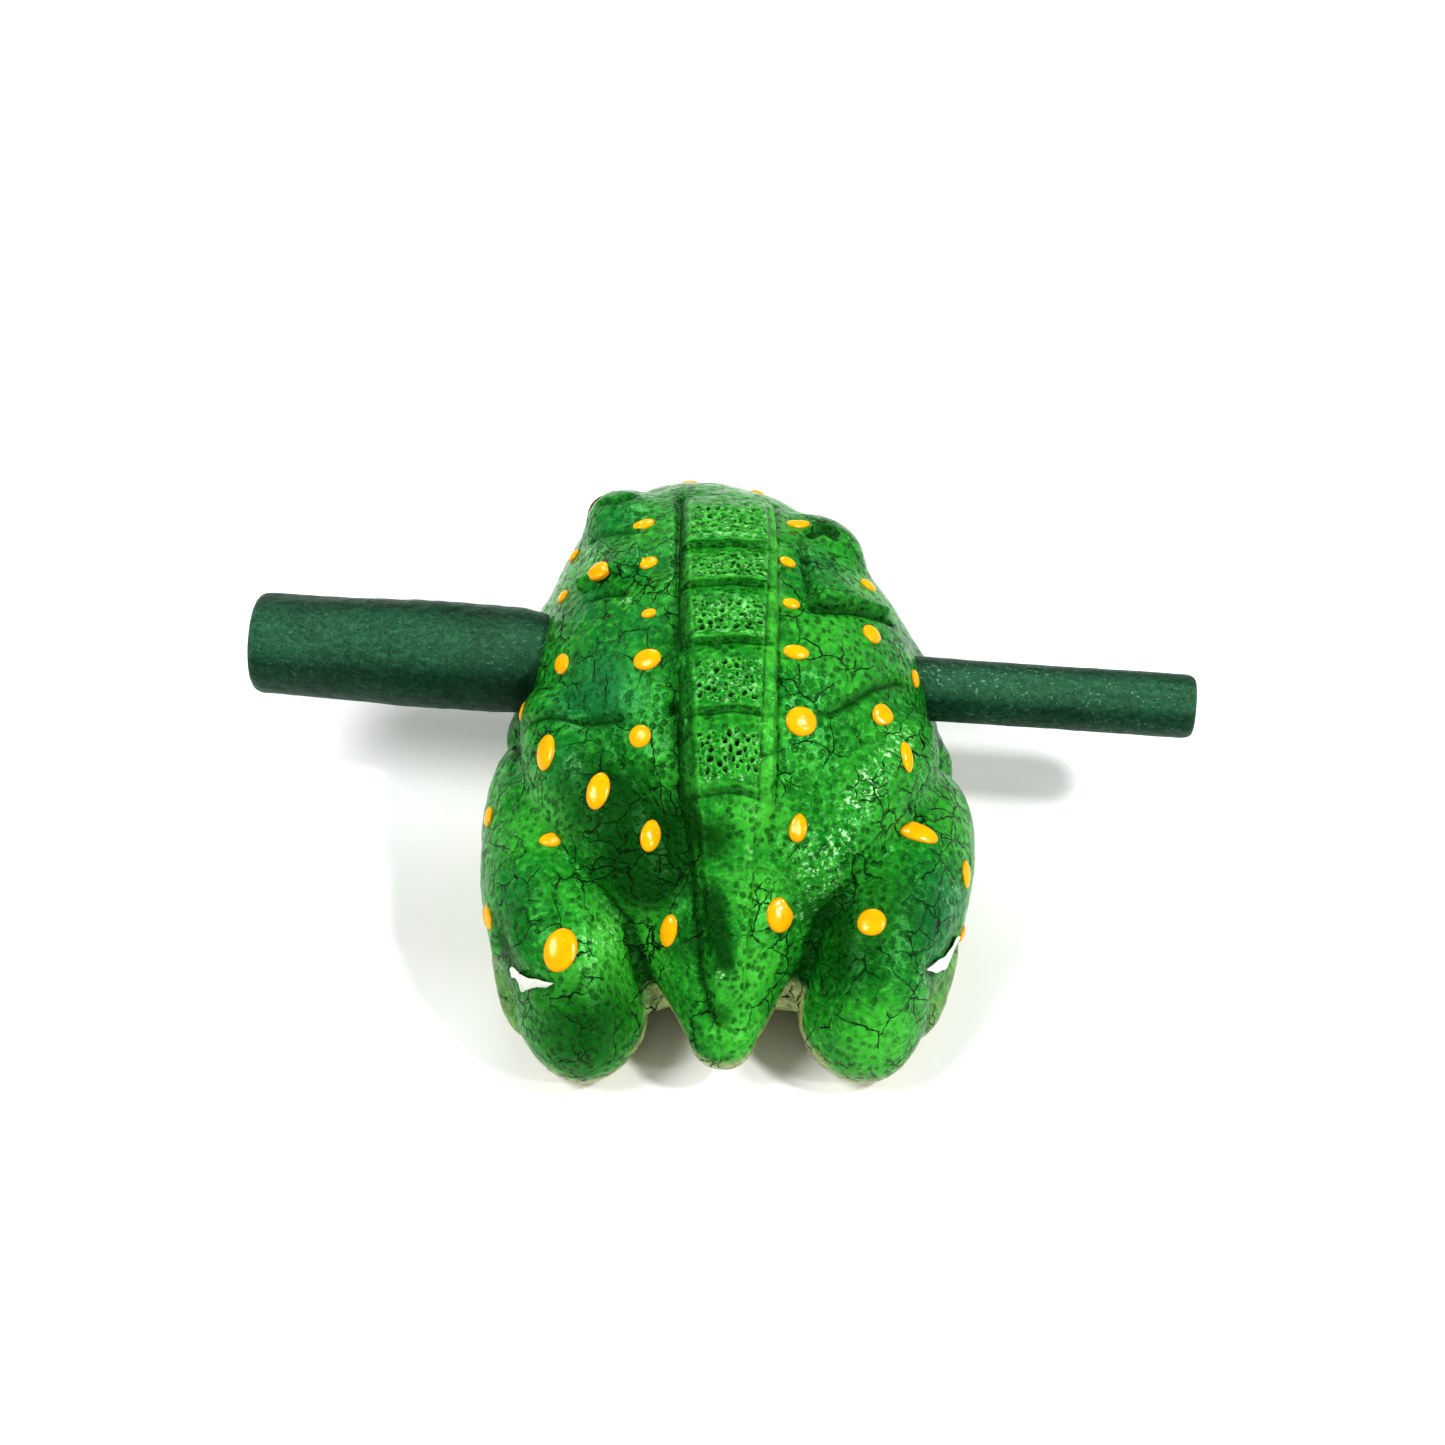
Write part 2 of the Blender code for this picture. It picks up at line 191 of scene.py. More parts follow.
# Brush strokes of white in the folds of the hind legs: (path near the skin, half width).
WHITE_STROKES = (
    (((33.4, 31.3, 13.6), (31.4, 34.4, 15), (28.3, 36.4, 17.2), (25, 37.2, 19.3)), 1.45),
    (((-34.8, 23, 10.6), (-33.5, 27.8, 12.2), (-31.4, 30.9, 14.6), (-28.6, 33.5, 17.4)), 1.5),
)
STROKE_HEIGHT = 0.16

# Where the eyes are painted, on the front of their mounds, and how far they stand out.
EYES = {"eye_left": (19.3, -40.9, 35.8), "eye_right": (-17.9, -35.4, 35.8)}
EYE_HEIGHT = 1.3

# Soft patches, (x, y, z, radius, strength): deep green is partly airbrushed paint and partly painted shade
# on shaded thighs, grooves and flanks; teal is bluish paint and partly painted shade; bright green is
# painted light on the lit faces.
DEEP_PATCHES = (
    (20, 12, 34, 6, 0.65), (15, 17.5, 32, 7, 1), (9.5, 22, 28, 5.5, 0.95), (6.5, 30, 20, 3.5, 0.6),
    (12.6, 24, 26.5, 5.5, 1), (31, 27, 19, 5, 0.4), (20.5, 40, 13.5, 8, 0.85), (-18, 33, 18.5, 5.5, 0.9),
    (8, -20, 45.5, 2.2, 0.5), (8.2, -5, 44.5, 2.2, 0.5), (7.6, 8, 40, 2.4, 0.6), (-14.5, 27, 23, 4, 0.7),
    (-24, 27, 24, 7, 0.55), (2.6, 27, 26.2, 2.2, 1), (1.8, 29.5, 24.4, 2.2, 1), (1.1, 32, 22.3, 2.2, 1),
    (0.4, 34.4, 20.3, 1.9, 1), (2, 20.5, 31.5, 3, 0.9), (0.8, 39.5, 14.5, 1.6, 0.8), (6, 18, 33, 3, 0.7),
    (30.5, -8, 24, 6, 0.35), (-29, -14, 26, 6, 0.4), (25, -20, 36, 5, 0.45), (-16, -32, 42, 3, 0.5),
)
TEAL_PATCHES = (
    (20, -4, 40, 6.5, 0.5), (17, 1, 41, 5.5, 0.6), (24, -1, 36, 4, 0.5), (18, -32, 41, 5, 0.5),
    (12.5, -22, 44.5, 4, 0.55), (12, -9, 45, 4, 0.4), (-31, 24, 20, 6.5, 0.8), (-27, 30, 18, 5, 0.5),
    (21, -17, 40, 3.5, 0.6), (24, 9, 34, 4, 0.5), (-14, -21, 43, 5, 0.45), (31, 23, 21, 4, 0.4),
)
LIT_PATCHES = (
    (-6.8, -22, 46.5, 2.2, 0.8), (-6.6, -12, 46.5, 2.2, 0.8), (-6.4, -2, 45.5, 2.2, 0.85),
    (-6.2, 8, 41.5, 2.4, 0.85), (-5, 18, 34, 4, 0.9), (-4.5, 26, 25.5, 4.5, 1), (-4, 34, 18.5, 4.5, 1),
    (-1.5, 40.5, 12, 4.5, 0.8), (22, -25, 40, 4, 0.6), (28, 14, 27, 5, 0.55), (15.5, 31, 18.5, 7.5, 1),
    (23, 37, 18, 4.5, 0.5), (-25, 7, 34.5, 6, 0.55), (-22, 41.5, 13, 6, 0.9), (-32, 8, 22, 5, 0.6),
    (13, -25, 44, 2.5, 0.3), (14.5, -2, 42.5, 3.5, 0.35), (-15, -5, 43.5, 6, 0.25),
    (5, 14, 36.5, 3, 0.35),
)

# Painted highlights: broken light streaks on the high places that face the lamps, in the same terms.
SHEEN_PATCHES = (
    (-25.5, 4.5, 35.3, 2.6, 0.7), (-23, 9, 35.3, 2.4, 0.9), (-20.5, 12.5, 34.8, 2.4, 1),
    (-18, 16, 33.2, 2.3, 1), (-15.8, 20, 30.6, 2.3, 1), (-13, 24, 27.5, 3.6, 0.75),
    (-9.5, 20.5, 31, 2.6, 0.55), (-11, 28, 22, 2.6, 0.6), (-4.3, 12.5, 39.5, 1.3, 0.9),
    (-4.2, 18.5, 35, 1.3, 0.9), (-3.9, 22.5, 30.6, 1.3, 0.7), (17.5, 29.5, 21.5, 3.2, 0.55),
    (21, 33, 21.3, 3, 0.35), (-31.5, 22, 20, 2.8, 0.35), (-28, 34, 17, 2.2, 0.3),
    (15, -14.5, 44.2, 1.4, 0.5), (22, 9, 35.2, 2, 0.25), (-22.5, -19.5, 40.5, 1.3, 0.6),
    (-19, -30, 42.5, 1.6, 0.5), (1, 36.2, 19.2, 1, 0.7),
)

# Studio lights: (name, place, width, watts), in metres.
SOFTBOXES = (
    ("key", (-0.48, 0.16, 0.62), 0.09, 2.4),
    ("low", (-0.58, 0.34, 0.42), 0.07, 1.0),
    ("fill", (0.56, 0.16, 0.72), 0.40, 4.0),
    ("rim", (0.10, -0.80, 0.60), 0.40, 2.2),
)
STUDIO_BRIGHTNESS = 0.27
CAMERA_SHIFT = (-0.004, 0.024)


def srgb(red, green, blue):
    """Turns 0 to 255 display values into the scene's linear ones."""
    values = []
    for part in (red, green, blue):
        part /= 255.0
        values.append(part / 12.92 if part <= 0.04045 else ((part + 0.055) / 1.055) ** 2.4)
    return tuple(values)


# ================================================================ settings a user would change
def length(name, description, default, **more):
    return FloatProperty(name=name, description=description, default=default, unit="LENGTH", **more)


def colour(name, description, default):
    return FloatVectorProperty(
        name=name, description=description, default=default, subtype="COLOR", size=3, min=0.0, max=1.0
    )


class FrogSizes(bpy.types.PropertyGroup):
    """Sizes of the frog's surface detail."""

    cage_cells: IntProperty(name="Cage cells", description="Cells along a side of the net", default=24)
    net_split: IntProperty(name="Net split", description="Fine cells in each coarse cell", default=5, min=1)
    spot_height: length("Spot height", "How far a paint spot stands proud", 0.00055, min=0.0)
    pit_depth: length("Pit depth", "Depth of the punched pits on the spine", 0.00070, min=0.0)
    pit_pitch: length("Pit pitch", "Spacing of the punched pits", 0.00104, min=0.0005)
    crackle_cell: length("Crackle cell", "Size of the islands between lacquer cracks", 0.0062, min=0.001)
    eye_radius: length("Eye radius", "Radius of a painted eye", 0.0031, min=0.001)


class FrogColours(bpy.types.PropertyGroup):
    """Paints and bare surfaces."""

    leaf: colour("Leaf green", "Main lacquer", srgb(30, 128, 42))
    # Bright green: lighter lacquer in the mottle, and painted light on the lit patches and spine walls.
    bright: colour("Bright green", "Light airbrushed lacquer", srgb(90, 194, 74))
    # Deep green: dark lacquer in the mottle and flecks, and painted shade in creases, cuts, hollows and on
    # shaded sides.
    deep: colour("Deep green", "Dark airbrushed lacquer", srgb(1, 66, 5))
    # Sheen green: painted highlights on the lacquer.
    worn: colour("Worn green", "Polished high spots of the lacquer", srgb(196, 240, 190))
    # Teal: bluish lacquer, and partly painted shade on shaded flanks.
    teal: colour("Teal green", "Bluish airbrushed lacquer", srgb(34, 112, 82))
    crack: colour("Crack", "Colour in the lacquer cracks", srgb(1, 36, 3))
    cream: colour("Cream", "Belly paint", srgb(196, 190, 148))
    spot: colour("Spot yellow", "Raised paint spots", srgb(242, 182, 1))
    spot_rim: colour("Spot orange", "Thin rim of a paint spot", srgb(218, 142, 1))
    white: colour("White", "White brush strokes", srgb(226, 230, 224))
    lip: colour("Lip red", "Painted edge of the mouth", srgb(128, 22, 14))
    eye: colour("Eye black", "Pupil", srgb(10, 10, 9))
    wood: colour("Bare wood", "Inside of the sound chamber", srgb(168, 124, 78))
    stain: colour("Beater green", "Stain on the beater", srgb(10, 78, 48))
    # The beater's light green is also painted light and painted glints on its top; its deep green is also
    # painted shade underneath.
    stain_light: colour("Beater worn green", "Worn grain on the beater", srgb(126, 184, 148))
    stain_dark: colour("Beater deep green", "Stain pooled in the beater's grain", srgb(1, 38, 16))


class StageSettings(bpy.types.PropertyGroup):
    """Floor, lights and camera."""

    floor_size: length("Floor size", "Width of the pale floor", 6.0, min=1.0)
    camera_distance: length("Camera distance", "From the frog's middle", 0.400, min=0.1)
    camera_height: FloatProperty(
        name="Camera height", description="Above the table", default=math.radians(50.0), subtype="ANGLE"
    )
    focal_length: FloatProperty(name="Focal length", description="Lens, mm", default=66.77, unit="CAMERA")


# ================================================================ carving functions
def length_of(vectors):
    """Length of each row's vector."""
    return np.linalg.norm(vectors, axis=-1)


def bell(distance):
    """exp(-d^2): 1 in the middle, 0.37 at a distance of 1."""
    return np.exp(-(distance**2))


def turn(yaw_deg, pitch_deg):
    """Rotation whose columns are a lump's own axes: yaw about Z, then pitch about its own X."""
    yaw = Matrix.Rotation(math.radians(yaw_deg), 3, "Z")
    pitch = Matrix.Rotation(math.radians(pitch_deg), 3, "X")
    return np.array(yaw @ pitch)


def ellipsoid(points, centre, radii, yaw=0.0, pitch=0.0):
    """Gap to an ellipsoid: k (k - 1) / |grad k|, where k is the point's distance in units of the radii."""
    local = (points - np.array(centre)) @ turn(yaw, pitch)
    radii = np.array(radii)
    scaled = length_of(local / radii)
    slope = length_of(local / radii**2)
    return scaled * (scaled - 1.0) / np.maximum(slope, 1e-6)


def tapered_limb(points, start, end, start_radius, end_radius):
    """Distance to the nearest point of a line, less a radius that changes evenly along it."""
    start = np.array(start)
    along = np.array(end) - start
    share = np.clip((points - start) @ along / (along @ along), 0.0, 1.0)
    nearest = start + share[:, None] * along
    radius = start_radius + share * (end_radius - start_radius)
    return length_of(points - nearest) - radius


def blend(first, second, width):
    """The smaller of two gaps, rounded by a parabola where they differ by less than width."""
    share = np.clip(0.5 + 0.5 * (second - first) / width, 0.0, 1.0)
    return second + (first - second) * share - width * share * (1.0 - share)


def ramp(value, start, end):
    """3 t^2 - 2 t^3, with t going from 0 at start to 1 at end."""
    share = np.clip((value - start) / (end - start), 0.0, 1.0)
    return share * share * (3.0 - 2.0 * share)


def fall(value, start, end):
    """1 before start and 0 past end, smooth between."""
    return 1.0 - ramp(value, start, end)


def trunk(points):
    """Rib cage, belly, rump and tail as one smooth mass."""
    cage = ellipsoid(points, (0, -13, BELLY_Z), (BODY_HALF_WIDTH, 33, BACK_RADIUS))
    belly = ellipsoid(points, (0, -3, 12), (28, 36, 16))
    rump = tapered_limb(points, (0, 5, 20.5), (0, 39.6, 9.0), 17.0, 4.6)
    return blend(blend(cage, belly, 6.0), rump, 8.0)


def head(points):
    """Skull, snout and lower jaw."""
    skull = ellipsoid(points, (0, -30, 29.0), (20.5, 17, 14.2))
    snout = ellipsoid(points, (0, -38.5, 28.0), (13.5, 12, 8))
    jaw = ellipsoid(points, (0, -35, 15), (18, 14, 9))
    return blend(blend(skull, snout, 6.0), jaw, 4.0)


def hind_leg(points):
    """Thigh, shank and foot of a folded hind leg, on the +X side."""
    thigh = ellipsoid(points, (18.5, 9, 24), (9.5, 20, 11.5), yaw=30, pitch=-13)
    shank = ellipsoid(points, (25, HIP_LINE_Y, 13), (11, 26, 13), yaw=13, pitch=-6)
    heel = ellipsoid(points, (20.3, 33.3, 7.5), (9.6, 11.6, 9.2))
    foot = ellipsoid(points, (27.3, 16, 4.0), (8.0, 20.5, 6.0))
    return blend(blend(blend(thigh, shank, 1.4), heel, 2.0), foot, 1.0)


def front_leg(points):
    """Upper arm, forearm and hand of a front leg, on the +X side."""
    upper = tapered_limb(points, (22.5, -19, 22), (27.5, -13, 9), 8.5, 6.5)
    forearm = tapered_limb(points, (28, -14, 9), (21, -36, 5), 6.5, 4.5)
    hand = ellipsoid(points, (19, -40, 2.5), (8, 8.5, 4.5))
    return blend(blend(upper, forearm, 3.0), hand, 3.0)


def eye_mound(points):
    """Raised lid over an eye, on the +X side."""
    return ellipsoid(points, (15.0, -32.5, 36.7), (6.2, 7, 6.3), yaw=-25)


def square_up(points):
    """Undoes the skew: the front half lies square to the bore, and the head is turned a little more."""
    y = points[:, 1]
    front = 1.0 - ramp(y, -8.0, 12.0)
    head_share = ramp(-y, 18.0, 36.0)
    slope = math.tan(math.radians(SKEW_DEG)) * front + math.tan(math.radians(HEAD_SKEW_DEG)) * head_share
    lean = HEAD_LEAN * ramp(-y, 22.0, 44.0) + HIP_LEAN * ramp(y, 8.0, 32.0)
    return np.column_stack([points[:, 0] - lean, y + slope * points[:, 0], points[:, 2]])


def carved_frog(points):
    """Gap to the whole carved outside; both flanks share the same forms."""
    half = square_up(points)
    half[:, 0] = np.abs(half[:, 0])
    form = blend(trunk(half), head(half), 8.0)
    form = blend(form, front_leg(half), 3.0)
    form = blend(form, hind_leg(half), LEG_FOLD)
    return blend(form, eye_mound(half), 2.0)


def surface_normals(points, step=0.05):
    """Unit gradient of the carved gap, by differences of one step each way."""
    slopes = []
    for axis in np.eye(3):
        slopes.append(carved_frog(points + axis * step) - carved_frog(points - axis * step))
    gradient = np.column_stack(slopes)
    return gradient / np.maximum(length_of(gradient), 1e-9)[:, None]


def safe_step(gap):
    """How far a point outside may move towards the form, given its gap, without passing through it."""
    return np.clip(gap, -2.0, 4.0) * 0.8


def reach_inward(directions, centre):
    """Rays from well outside that step back by the gap until they meet the form."""
    reach = np.full(len(directions), OUTSIDE_REACH)
    for _ in range(APPROACH_STEPS):
        reach -= safe_step(carved_frog(centre + directions * reach[:, None]))
    return centre + directions * reach[:, None]


def back_height(x, y):
    """Height of the carved back over each (x, y), by dropping from above."""
    height = np.full(len(x), OUTSIDE_HEIGHT)
    for _ in range(APPROACH_STEPS):
        height -= safe_step(carved_frog(np.column_stack([x, y, height])))
    return height


# ================================================================ surface relief
def ripple(points, wavelength, seed, waves=28):
    """A sum of plane waves of random directions and phases, about one wavelength long: about -1 to 1."""
    rng = np.random.default_rng(seed)
    directions = rng.normal(size=(waves, 3))
    directions /= length_of(directions)[:, None]
    wavelengths = wavelength * rng.uniform(0.7, 1.5, waves)
    phases = rng.uniform(0.0, 2.0 * math.pi, waves)
    angles = points @ (directions / wavelengths[:, None]).T * 2.0 * math.pi + phases
    return np.sin(angles).sum(axis=1) / math.sqrt(waves) * 0.8


def held_between(values, low, high, softness=0.4):
    """Keeps values between two limits: each is approached along a hyperbola instead of crossed."""
    above = values - low
    values = low + 0.5 * (above + np.sqrt(above * above + softness * softness))
    below = high - values
    return high - 0.5 * (below + np.sqrt(below * below + softness * softness))


def path_distance(flat, path):
    """Distance from points seen from above to the nearest stretch of a path."""
    nearest = np.full(len(flat), 1e3)
    for start, end in zip(path, path[1:]):
        start = np.array(start)
        along = np.array(end) - start
        share = np.clip((flat - start) @ along / (along @ along), 0.0, 1.0)
        nearest = np.minimum(nearest, length_of(flat - start - share[:, None] * along))
    return nearest


def plate_lift(flat, corners):
    """A plate that rises from its front edge to its rear edge and drops just outside its four edges."""
    inside = np.full(len(flat), 1e3)
    middle = np.mean(corners, axis=0)
    for start, end in zip(corners, corners[1:] + corners[:1]):
        start = np.array(start)
        along = (np.array(end) - start) / math.dist(start, end)
        normal = np.array((-along[1], along[0]))
        normal *= np.sign((middle - start) @ normal)
        inside = np.minimum(inside, (flat - start) @ normal)
    front_y = (corners[0][1] + corners[1][1]) / 2
    rear_y = (corners[2][1] + corners[3][1]) / 2
    rise = 0.35 + 1.15 * ramp(flat[:, 1], front_y, rear_y)
    return rise * ramp(inside, -0.25, 0.30)


def patches(points, spots):
    """Sum of round soft patches exp(-(distance / radius)^3), each with its own strength, at most 1."""
    total = np.zeros(len(points))
    for *centre, radius, strength in spots:
        total += strength * np.exp(-((length_of(points - np.array(centre)) / radius) ** 3))
    return np.clip(total, 0.0, 1.0)


def cut_depths(flat, spread=1.0):
    """Depth of the knife cuts under each point seen from above, each a bell across its own half width."""
    depths = np.zeros(len(flat))
    for path, depth, half_width in KNIFE_CUTS:
        depths += depth * bell(path_distance(flat, path) / (spread * half_width))
    return depths


def relief(points, normals):
    """How far the finished skin stands proud of the smooth form, mm."""
    flat = points[:, :2]
    facing_up = ramp(normals[:, 2], *FACING_UP)
    height = 0.14 * ripple(points, 9.0, 1) + 0.05 * ripple(points, 3.2, 2)
    for corners in BROW_PLATES:
        height += facing_up * plate_lift(flat, corners)
    height -= facing_up * cut_depths(flat)
    for path in LEG_FOLDS:
        across = path_distance(flat, path) / FOLD_HALF_WIDTH
        upright = (points[:, 2] - FOLD_MIDDLE_Z) / FOLD_HALF_HEIGHT
        height -= FOLD_DEPTH * np.exp(-(across**2) - upright**2)
    for *centre, radius, depth in DENTS:
        height -= depth * bell(length_of(points - np.array(centre)) / radius)
    flank_x, flank_y, flank_z = TAIL_FLANK
    for side in (-1.0, 1.0):
        flank = (points - np.array((side * flank_x, flank_y, flank_z))) / np.array(TAIL_FLANK_RADII)
        height += TAIL_FLANK_SWELL * bell(length_of(flank))
    *centre, radius, depth = BEADED_HAUNCH
    height += bell(length_of(points - np.array(centre)) / radius) * depth * ripple(points, 1.6, 3)
    return height - PAINT_ALLOWANCE


def onto_skin(points, steps=6):
    """Moves points along the form's normals to the finished skin."""
    for _ in range(steps):
        normals = surface_normals(points)
        gap = carved_frog(points) - relief(points, normals)
        points = points - normals * np.clip(gap, -2.0, 2.0)[:, None]
    return points, surface_normals(points)


def hollowness(points, normals, reaches=(1.2, 2.5, 5.0)):
    """How much a spot is shut in: the share by which the gap falls short a little way out from the skin."""
    total = np.zeros(len(points))
    for reach in reaches:
        gap = carved_frog(points + normals * reach)
        total += np.clip((reach - gap) / reach, 0.0, 1.0)
    return total / len(reaches)


# ================================================================ meshes
def new_piece(name, points, face_groups, material, smooth=True):
    """Writes millimetre points and groups of faces, each of one corner count, into a mesh at the origin."""
    mesh = bpy.data.meshes.new(name)
    corners = np.concatenate([np.ravel(group) for group in face_groups]).astype(np.int32)
    sizes = np.concatenate([np.full(len(group), np.shape(group)[1]) for group in face_groups])
    mesh.vertices.add(len(points))
    mesh.vertices.foreach_set("co", (np.asarray(points) * MM).ravel())
    mesh.loops.add(len(corners))
    mesh.loops.foreach_set("vertex_index", corners)
    mesh.polygons.add(len(sizes))
    mesh.polygons.foreach_set("loop_start", (np.cumsum(sizes) - sizes).astype(np.int32))
    mesh.update(calc_edges=True)
    if smooth:
        mesh.shade_smooth()
    mesh.materials.append(material)
    piece = bpy.data.objects.new(name, mesh)
    bpy.context.scene.collection.objects.link(piece)
    return piece


def paint_attribute(mesh, name, values):
    """Gives each point of a mesh a number for its material to read."""
    attribute = mesh.attributes.new(name, "FLOAT", "POINT")
    attribute.data.foreach_set("value", np.asarray(values, dtype=np.float32))


def closed_tubes(rings):
    """Closes stacks of rings into tubes: (stacks, rings, ring points, 3) gives points, quads and triangles.

    Quads join each ring to the next. Both ends close on a middle point with triangles.
    """
    stacks, ring_count, around, _ = rings.shape
    size = ring_count * around
    ends = np.stack([rings[:, 0].mean(axis=1), rings[:, -1].mean(axis=1)], axis=1)
    points = np.concatenate([rings.reshape(stacks, size, 3), ends], axis=1)
    index = np.arange(size).reshape(ring_count, around)
    after = np.roll(index, -1, axis=1)
    sides = np.stack([index[:-1], after[:-1], after[1:], index[1:]], axis=-1).reshape(-1, 4)
    first = np.stack([after[0], index[0], np.full(around, size)], axis=-1)
    last = np.stack([index[-1], after[-1], np.full(around, size + 1)], axis=-1)
    step = (np.arange(stacks) * (size + 2))[:, None, None]
    quads = (sides[None] + step).reshape(-1, 4)
    tips = (np.concatenate([first, last])[None] + step).reshape(-1, 3)
    return points.reshape(-1, 3), quads, tips


def new_tubes(name, rings, material):
    """A piece made of closed tubes, and its points."""
    points, quads, tips = closed_tubes(rings)
    return new_piece(name, points, (quads, tips), material), points


def cube_net(cells):
    """The surface of a cube as one net: its unique points, a point index for each grid place, and quads."""
    steps = np.linspace(-1.0, 1.0, cells + 1)
    u, v = np.meshgrid(steps, steps, indexing="ij")
    one = np.ones_like(u)
    sides = [(one, u, v), (-one, v, u), (v, one, u), (u, -one, v), (u, v, one), (v, u, -one)]
    grid = np.array([np.stack(side, axis=-1) for side in sides])
    keys = np.round(grid.reshape(-1, 3) * cells).astype(int)
    unique, index = np.unique(keys, axis=0, return_inverse=True)
    index = index.reshape(6, cells + 1, cells + 1)
    corners = [index[:, :-1, :-1], index[:, 1:, :-1], index[:, 1:, 1:], index[:, :-1, 1:]]
    return unique / cells, index, np.stack(corners, axis=-1).reshape(-1, 4)


def split_net(points, index, split):
    """Points and quads of a net split finer: each grid is read by straight lines along u, then v."""
    cells = index.shape[1] - 1
    places = np.arange(cells * split + 1) / split
    low = np.minimum(places.astype(int), cells - 1)
    share = places - low
    grid = points[index]
    grid = grid[:, low] * (1.0 - share)[:, None, None] + grid[:, low + 1] * share[:, None, None]
    grid = grid[:, :, low] * (1.0 - share)[:, None] + grid[:, :, low + 1] * share[:, None]
    unique, fine_index, quads = cube_net(cells * split)
    fine = np.zeros((len(unique), 3))
    fine[fine_index.ravel()] = grid.reshape(-1, 3)
    return fine, quads


def add_up(indices, vectors, count):
    """Sums the vectors that share an index."""
    return np.column_stack([np.bincount(indices, column, count) for column in vectors.T])


def relax_onto(points, quads, steps, power):
    """Slides each point towards the middles of its faces, then back onto the form.

    A face pulls by its area to the given power: 2 spreads the points evenly, 0 smooths their rows.
    """
    count = len(points)
    for _ in range(steps):
        corners = points[quads]
        middle = corners.mean(axis=1)
        area = np.cross(corners[:, 2] - corners[:, 0], corners[:, 3] - corners[:, 1])
        weight = length_of(area) ** power
        pull = np.zeros_like(points)
        total = np.zeros(count)
        for corner in range(4):
            pull += add_up(quads[:, corner], (middle - corners[:, corner]) * weight[:, None], count)
            total += np.bincount(quads[:, corner], weight, count)
        pull /= total[:, None]
        normals = surface_normals(points)
        pull -= normals * np.sum(pull * normals, axis=1)[:, None]
        points = points + 0.6 * pull
        points = points - normals * np.clip(carved_frog(points), -1.5, 1.5)[:, None]
    return points


def cut(piece, cutter):
    """Cuts the cutter out of the piece; the new walls keep the cutter's material."""
    modifier = piece.modifiers.new(f"cut_{cutter.name}", "BOOLEAN")
    modifier.operation = "DIFFERENCE"
    modifier.solver = "EXACT"
    modifier.material_mode = "TRANSFER"
    modifier.object = cutter


def settle(piece):
    """Applies a piece's modifiers to its mesh."""
    depsgraph = bpy.context.evaluated_depsgraph_get()
    mesh = bpy.data.meshes.new_from_object(piece.evaluated_get(depsgraph))
    piece.modifiers.clear()
    old = piece.data
    piece.data = mesh
    bpy.data.meshes.remove(old)
    mesh.name = piece.name


def mesh_points(mesh):
    """A mesh's points, mm."""
    values = np.empty(len(mesh.vertices) * 3)
    mesh.vertices.foreach_get("co", values)
    return values.reshape(-1, 3) / MM


# ================================================================ turned shapes
def along_bore(heights, radii, sides):
    """Rings about the beater's axis: height h along it, radius r, points evenly round from the top."""
    angle = np.arange(sides) * 2.0 * math.pi / sides
    rings = np.stack(
        [
            np.broadcast_to(heights[:, None], (len(heights), sides)),
            radii[:, None] * np.sin(angle),
            radii[:, None] * np.cos(angle),
        ],
        axis=-1,
    )
    skew = np.array(Matrix.Rotation(math.radians(-SKEW_DEG), 3, "Z"))
    return rings @ skew.T + np.array((0.0, BEATER_AXIS_Y, BEATER_AXIS_Z))


def neck(heights, club, rod, shift):
    """Radius along the beater: the rod's, then a swelling in short cones over the neck, then the club's."""
    thick, thin = CLUB_NECK
    share = np.clip((heights - shift - thin) / (thick - thin), 0.0, 1.0)
    return rod + (club - rod) * np.interp(share, NECK_SHARES, NECK_SWELLING)


def oval_rings(centre, radii, rings=40, around=64):
    """Rings of an ellipsoid from its low pole to its high pole: height -cos t, radius sin t."""
    t = np.linspace(0.0, math.pi, rings + 2)[1:-1]
    angle = np.arange(around) * 2.0 * math.pi / around
    x = np.sin(t)[:, None] * np.cos(angle)
    y = np.sin(t)[:, None] * np.sin(angle)
    z = np.broadcast_to(-np.cos(t)[:, None], x.shape)
    return (np.stack([x, y, z], axis=-1) * np.array(radii) + np.array(centre))[None]


# ================================================================ material building
# Places of a mix node's colour sockets, which share their names with its number sockets.
FIRST_COLOUR, SECOND_COLOUR, MIXED_COLOUR = 6, 7, 2


